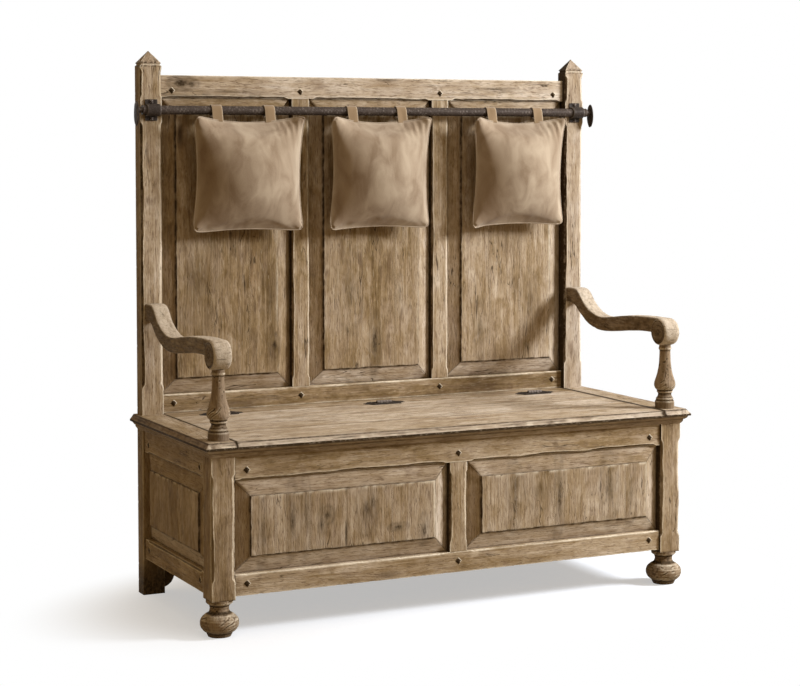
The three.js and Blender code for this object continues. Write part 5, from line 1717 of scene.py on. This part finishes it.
# %% [markdown]
# A cushion is two squares of suede sewn round the edge and stuffed. It is crowned in the middle and
# flatter behind, its sides are drawn in, and its corners stick out like ears. The three differ in
# width, two of them hang a little to the left, and the same two droop at the lower left corner.
# Each starts here as that form on a grid whose rim is shared by both faces. Blender's cloth then
# blows its slack skin up a little with the stuffing's pressure, so that folds form near the corners
# by themselves. The grid keeps its rows, so the seam is known afterwards and can be piped.

# %% Cushion shapes
CUSHION_WIDTHS = {"left": 345 * mm, "centre": 333 * mm, "right": 325 * mm}
CUSHION_SHIFTS = {"left": 0.0, "centre": -6 * mm, "right": -3 * mm}
CUSHION_DROOPS = {"left": 0.0, "centre": 3 * mm, "right": 8 * mm}
CUSHION_HEIGHT = 338 * mm
CUSHION_THICKNESS = 124 * mm
CUSHION_STEPS = 52
SIDE_PULL = 16 * mm
TOP_PULL = 24 * mm
FOOT_PULL = 11 * mm
CROWN_SHARE = 0.94
CORNER_SHARE = 0.07
CORNER_POWER = 9
BACK_SHARE = 0.8
SAG = 0.1


def cushion_grid(side, width):
    """across and up run from -1 to 1. The puff is a power of (1 - across squared)(1 - up
    squared), fuller below than above and flatter behind, and each edge is pulled in by the
    other axis."""
    even = np.linspace(-1, 1, CUSHION_STEPS + 1)
    share = np.sin(even * pi / 2) * 0.6 + even * 0.4
    up, across = np.meshgrid(share, share, indexing="ij")
    puff = np.maximum((1 - across ** 2) * (1 - up ** 2), 0) ** CROWN_SHARE
    blunt = 1 - CORNER_SHARE * np.abs(across * up) ** CORNER_POWER
    x = across * (width / 2 - SIDE_PULL * (1 - up ** 2)) * blunt
    pull = np.where(up > 0, TOP_PULL, FOOT_PULL) * (1 - across ** 2)
    z = up * (CUSHION_HEIGHT / 2 - pull) * blunt
    y = side * CUSHION_THICKNESS / 2 * (BACK_SHARE if side > 0 else 1.0) * puff * (1 - SAG * up)
    return np.stack([x, y, z], -1), across, up


def cushion_mesh(title):
    """One skin from two grids. The back grid uses the front grid's points along the rim. Each
    point also keeps its place across and up, and from these its distance to the seam and to
    the nearest corner."""
    front, across, up = cushion_grid(-1, CUSHION_WIDTHS[title])
    back, _, _ = cushion_grid(1, CUSHION_WIDTHS[title])
    size = CUSHION_STEPS + 1
    number = np.arange(size * size).reshape(size, size)
    inner = np.zeros((size, size), bool)
    inner[1:-1, 1:-1] = True
    far = number.copy()
    far[inner] = size * size + np.arange(inner.sum())
    points = np.concatenate([front.reshape(-1, 3), back[inner]])
    near_cells, far_cells = [
        np.stack([index[:-1, :-1], index[:-1, 1:], index[1:, 1:], index[1:, :-1]], -1).reshape(-1, 4)
        for index in (number, far)]
    cells = np.concatenate([near_cells, far_cells[:, ::-1]])
    rim = np.concatenate([number[0, :-1], number[:-1, -1], number[-1, :0:-1], number[:0:-1, 0]])
    across, up = [np.concatenate([way.ravel(), way[inner]]) for way in (across, up)]
    edge = np.minimum(1 - np.abs(across), 1 - np.abs(up))
    corner = np.sqrt((1 - np.abs(across)) ** 2 + (1 - np.abs(up)) ** 2)
    return points, cells, rim, edge, corner, across, up


print("cushions:", sorted(CUSHION_WIDTHS.values()), "m wide")

# %% [markdown]
# The cloth needs one closed skin, so the two grids share their rim. Pressure stands for the
# stuffing, and there is no gravity, because the stuffing carries the skin. Slack makes the skin
# a little larger than the form, and the extra suede gathers into folds.

# %% Cloth
CUSHION_PRESSURE = 4.0
CUSHION_FRAMES = 20
SLACK = -0.035
CLOTH = {"quality": 5, "mass": 0.3, "tension_stiffness": 18, "compression_stiffness": 18,
         "shear_stiffness": 6, "bending_stiffness": 1.2, "use_pressure": True,
         "uniform_pressure_force": CUSHION_PRESSURE, "shrink_min": SLACK}


def blow_up(points, quads):
    """Runs Blender's cloth on the skin with pressure and no gravity, and returns its points."""
    mesh = bpy.data.meshes.new("cloth_trial")
    mesh.from_pydata(points.tolist(), [], quads.tolist())
    item = stand("cloth_trial", mesh)
    cloth = item.modifiers.new("cloth", "CLOTH")
    for title, value in CLOTH.items():
        setattr(cloth.settings, title, value)
    cloth.settings.effector_weights.gravity = 0
    cloth.collision_settings.use_collision = False
    scene = bpy.context.scene
    for step in range(1, CUSHION_FRAMES + 1):
        scene.frame_set(step)
    depsgraph = bpy.context.evaluated_depsgraph_get()
    result = np.zeros(len(mesh.vertices) * 3)
    item.evaluated_get(depsgraph).data.vertices.foreach_get("co", result)
    scene.frame_set(1)
    bpy.data.objects.remove(item)
    return result.reshape(-1, 3)


print("cloth:", CUSHION_FRAMES, "frames")

# %% [markdown]
# After the simulation each point may have moved only so far from where it began, which keeps the
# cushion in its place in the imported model. Its ears bend forwards, the top seam between them
# leans back, and upright folds gather at the upper right. Then the whole cushion leans back
# against the panels, and a thin piping is carried round its seam.

# %% Cushions
CUSHION_LIFT = 3 * mm
CUSHION_TILT = radians(2.5)
UNEVEN = 1.2 * mm
MOVE_LIMIT = 5 * mm
EAR_FORWARD = 15 * mm
SEAM_BACK = 16 * mm
FOLD_PITCH = 19 * mm
FOLD_DEPTH = 2.6 * mm
SLUMP = 1.5 * mm
PIPING_RADIUS = 1.7 * mm


def settled(title, seed, points, quads, edge, corner, across, up):
    """Where the points of a skin come to rest: start plus a limited move, then shifts along y
    for ears, seam, folds and slump, one down for the droop, and a turn about x."""
    ear = bell(corner, 0, 0.2)
    start = points
    uneven = np.stack([noise(points, 60 * mm, seed), noise(points, 45 * mm, seed + 1),
                       noise(points, 60 * mm, seed + 2)], -1)
    move = blow_up(start + uneven * UNEVEN, quads) - start
    far = np.linalg.norm(move, axis=-1, keepdims=True)
    points = start + move * np.minimum(1, MOVE_LIMIT / np.maximum(far, 1e-9))
    points[:, 1] -= EAR_FORWARD * ear * np.where(up > 0, 1, 0.4)
    points[:, 1] += SEAM_BACK * ramp(up, 0.6, 1) * (1 - bell(corner, 0, 0.45))
    fold = np.sin(2 * pi * points[:, 0] / FOLD_PITCH + 3 * up + 1.5 * noise(points, 40 * mm, seed + 4))
    gathered = ramp(across, 0.2, 0.5) * (1 - ramp(across, 0.78, 0.95)) * ramp(up, 0.45, 0.85)
    points[:, 1] += FOLD_DEPTH * fold * gathered * ramp(edge, 0, 0.06)
    points[:, 1] += SLUMP * noise(points, 70 * mm, seed + 5) * (edge > 0.02)
    points[:, 2] -= CUSHION_DROOPS[title] * ear * (up < 0) * (across < 0)
    turn = np.array([[1, 0, 0], [0, cos(CUSHION_TILT), -sin(CUSHION_TILT)],
                     [0, sin(CUSHION_TILT), cos(CUSHION_TILT)]])
    return points @ turn.T + np.array([CUSHION_SHIFTS[title], 0, CUSHION_LIFT])


def piping(title, seam, body):
    """A thin round cord: circles whose planes stand across the seam, closed on themselves."""
    around = np.roll(seam, -1, axis=0) - np.roll(seam, 1, axis=0)
    around /= np.linalg.norm(around, axis=-1, keepdims=True)
    out = np.cross(around, np.array([0, 1.0, 0]))
    out /= np.linalg.norm(out, axis=-1, keepdims=True)
    through = np.cross(around, out)
    angle = full_turn(8)[None, :, None]
    rings = seam[:, None] + PIPING_RADIUS * (np.cos(angle) * out[:, None]
                                             + np.sin(angle) * through[:, None])
    loft(f"suede_piping_{title}", rings, {"wear_and_highlight": np.full(rings.shape[:2], 0.15),
                                          "grime_and_shade": np.zeros(rings.shape[:2])},
         body=body, material=suede, closed=True)


top_seams = {}
for title, seed in (("left", 401), ("centre", 411), ("right", 421)):
    body = f"{title}_pad"
    low, high = node_box(f"{title}_cushion")
    points, quads, rim, edge, corner, across, up = cushion_mesh(title)
    points = settled(title, seed, points, quads, edge, corner, across, up)
    in_front = -points[:, 1]
    points = points + (low + high) / 2
    # The left part of each cushion's front is painted darker, where its crown turns from the lamp: a
    # painted shade.
    painted_shade_left = 0.42 * ramp(-across, 0.05, 0.9) * ramp(in_front, -10 * mm, 10 * mm) \
        * (1 - 0.8 * ramp(up, 0.3, 0.9)) * (1 - 0.6 * fade(edge, 0.05))
    stitch = bell(corner, 0.05, 0.02) * ramp(noise(points, 4 * mm, seed + 8), 0.2, 0.7)
    values = {"wear_and_highlight": 0.4 * fade(edge, 0.02)[:, None],
              "grime_and_shade": np.maximum(0.8 * stitch, painted_shade_left)[:, None]}
    item = finish_piece(f"suede_cushion_{title}", points, quads, [], values, body, suede,
                        (f"{title}_cushion",))
    smooth = item.modifiers.new("smooth", "SUBSURF")
    smooth.render_levels = 1
    smooth.levels = 1
    upper = points[up > 0.999]
    top_seams[title] = upper[np.argsort(upper[:, 0])]
    piping(title, points[rim], body)
    print(title, "cushion:", made[f"suede_cushion_{title}"], "faces")

# %% [markdown]
# Each cushion hangs by two straps of the same hide, sewn into its top seam and looped over the rod. A
# strap is a thin flat section carried round a closed path: an arc over the rod and two straight
# lines that meet at the seam.

# %% Loops
LOOP_WIDTH = 30 * mm
LOOP_THICKNESS = 2 * mm
LOOP_SLACK = 0.6 * mm
LOOP_SEWN = 3 * mm
LOOP_ARC = 40
LOOP_LINE = 16


def loop(title, hand, seed):
    """The path is worked out from the tangents of the rod's circle through the foot."""
    node = f"{title}_cushion_loop_{hand}"
    centre = middle_of(node)
    radius = ROD_RADIUS + LOOP_SLACK + LOOP_THICKNESS / 2
    line = top_seams[title]
    foot = np.array([np.interp(centre, line[:, 0], line[:, 1]) - rod_y,
                     np.interp(centre, line[:, 0], line[:, 2]) - rod_z - LOOP_SEWN])
    towards = np.arctan2(foot[1], foot[0])
    spread = np.arccos(radius / np.hypot(*foot))
    angle = np.linspace(towards + spread, towards + 2 * pi - spread, LOOP_ARC)
    arc = radius * np.stack([np.cos(angle), np.sin(angle)], -1)
    share = np.linspace(0, 1, LOOP_LINE)[1:-1, None]
    gap = np.array([LOOP_THICKNESS / 2 + 0.1 * mm, 0])
    first = foot + gap + (arc[0] - foot - gap) * share
    last = arc[-1] + (foot - gap - arc[-1]) * share
    path = np.concatenate([[foot + gap], first, arc, last, [foot - gap]])
    ahead = np.roll(path, -1, axis=0) - np.roll(path, 1, axis=0)
    ahead /= np.linalg.norm(ahead, axis=-1, keepdims=True)
    normal = np.stack([ahead[:, 1], -ahead[:, 0]], -1)
    across, through = rounded_ring(40, 7)
    width = LOOP_WIDTH / 2 * across
    travelled = np.linspace(0, 1, len(path))[:, None]
    spot = np.stack(np.broadcast_arrays(travelled * 0.12, width[None], seed), -1)
    rings = np.zeros((len(path), len(across), 3))
    rings[..., 0] = centre + width + 0.8 * mm * noise(spot, (35 * mm, 60 * mm, 1), seed)
    thick = LOOP_THICKNESS / 2 * through
    rings[..., 1] = rod_y + path[:, :1] + thick * normal[:, :1]
    rings[..., 2] = rod_z + path[:, 1:] + thick * normal[:, 1:]
    # Both edges are pale with wear, the right one more: a painted highlight on the side facing the lamp.
    # Over the rod it is pale too: wear, and a painted highlight.
    edge = bell(np.abs(across), 1, 0.09) * np.where(across > 0, 0.85, 0.4)
    crown = 0.55 * bell(travelled, 0.5, 0.07)
    values = {"wear_and_highlight": np.maximum(edge, crown), "grime_and_shade": np.zeros(rings.shape[:2])}
    loft(f"suede_loop_{title}_{hand}", rings, values, body=f"{title}_loops", material=strap_suede,
         stands_for=(node,), closed=True)


for title in ("left", "centre", "right"):
    for hand, seed in (("left", 431), ("right", 433)):
        loop(title, hand, seed)
print("loops:", sum(1 for name in made if name.startswith("suede_loop")))

# %% [markdown]
# The number of faces of the dressed bench is printed.

# %% Faces in all
print("faces in all:", sum(made.values()), "in", len(made), "pieces")
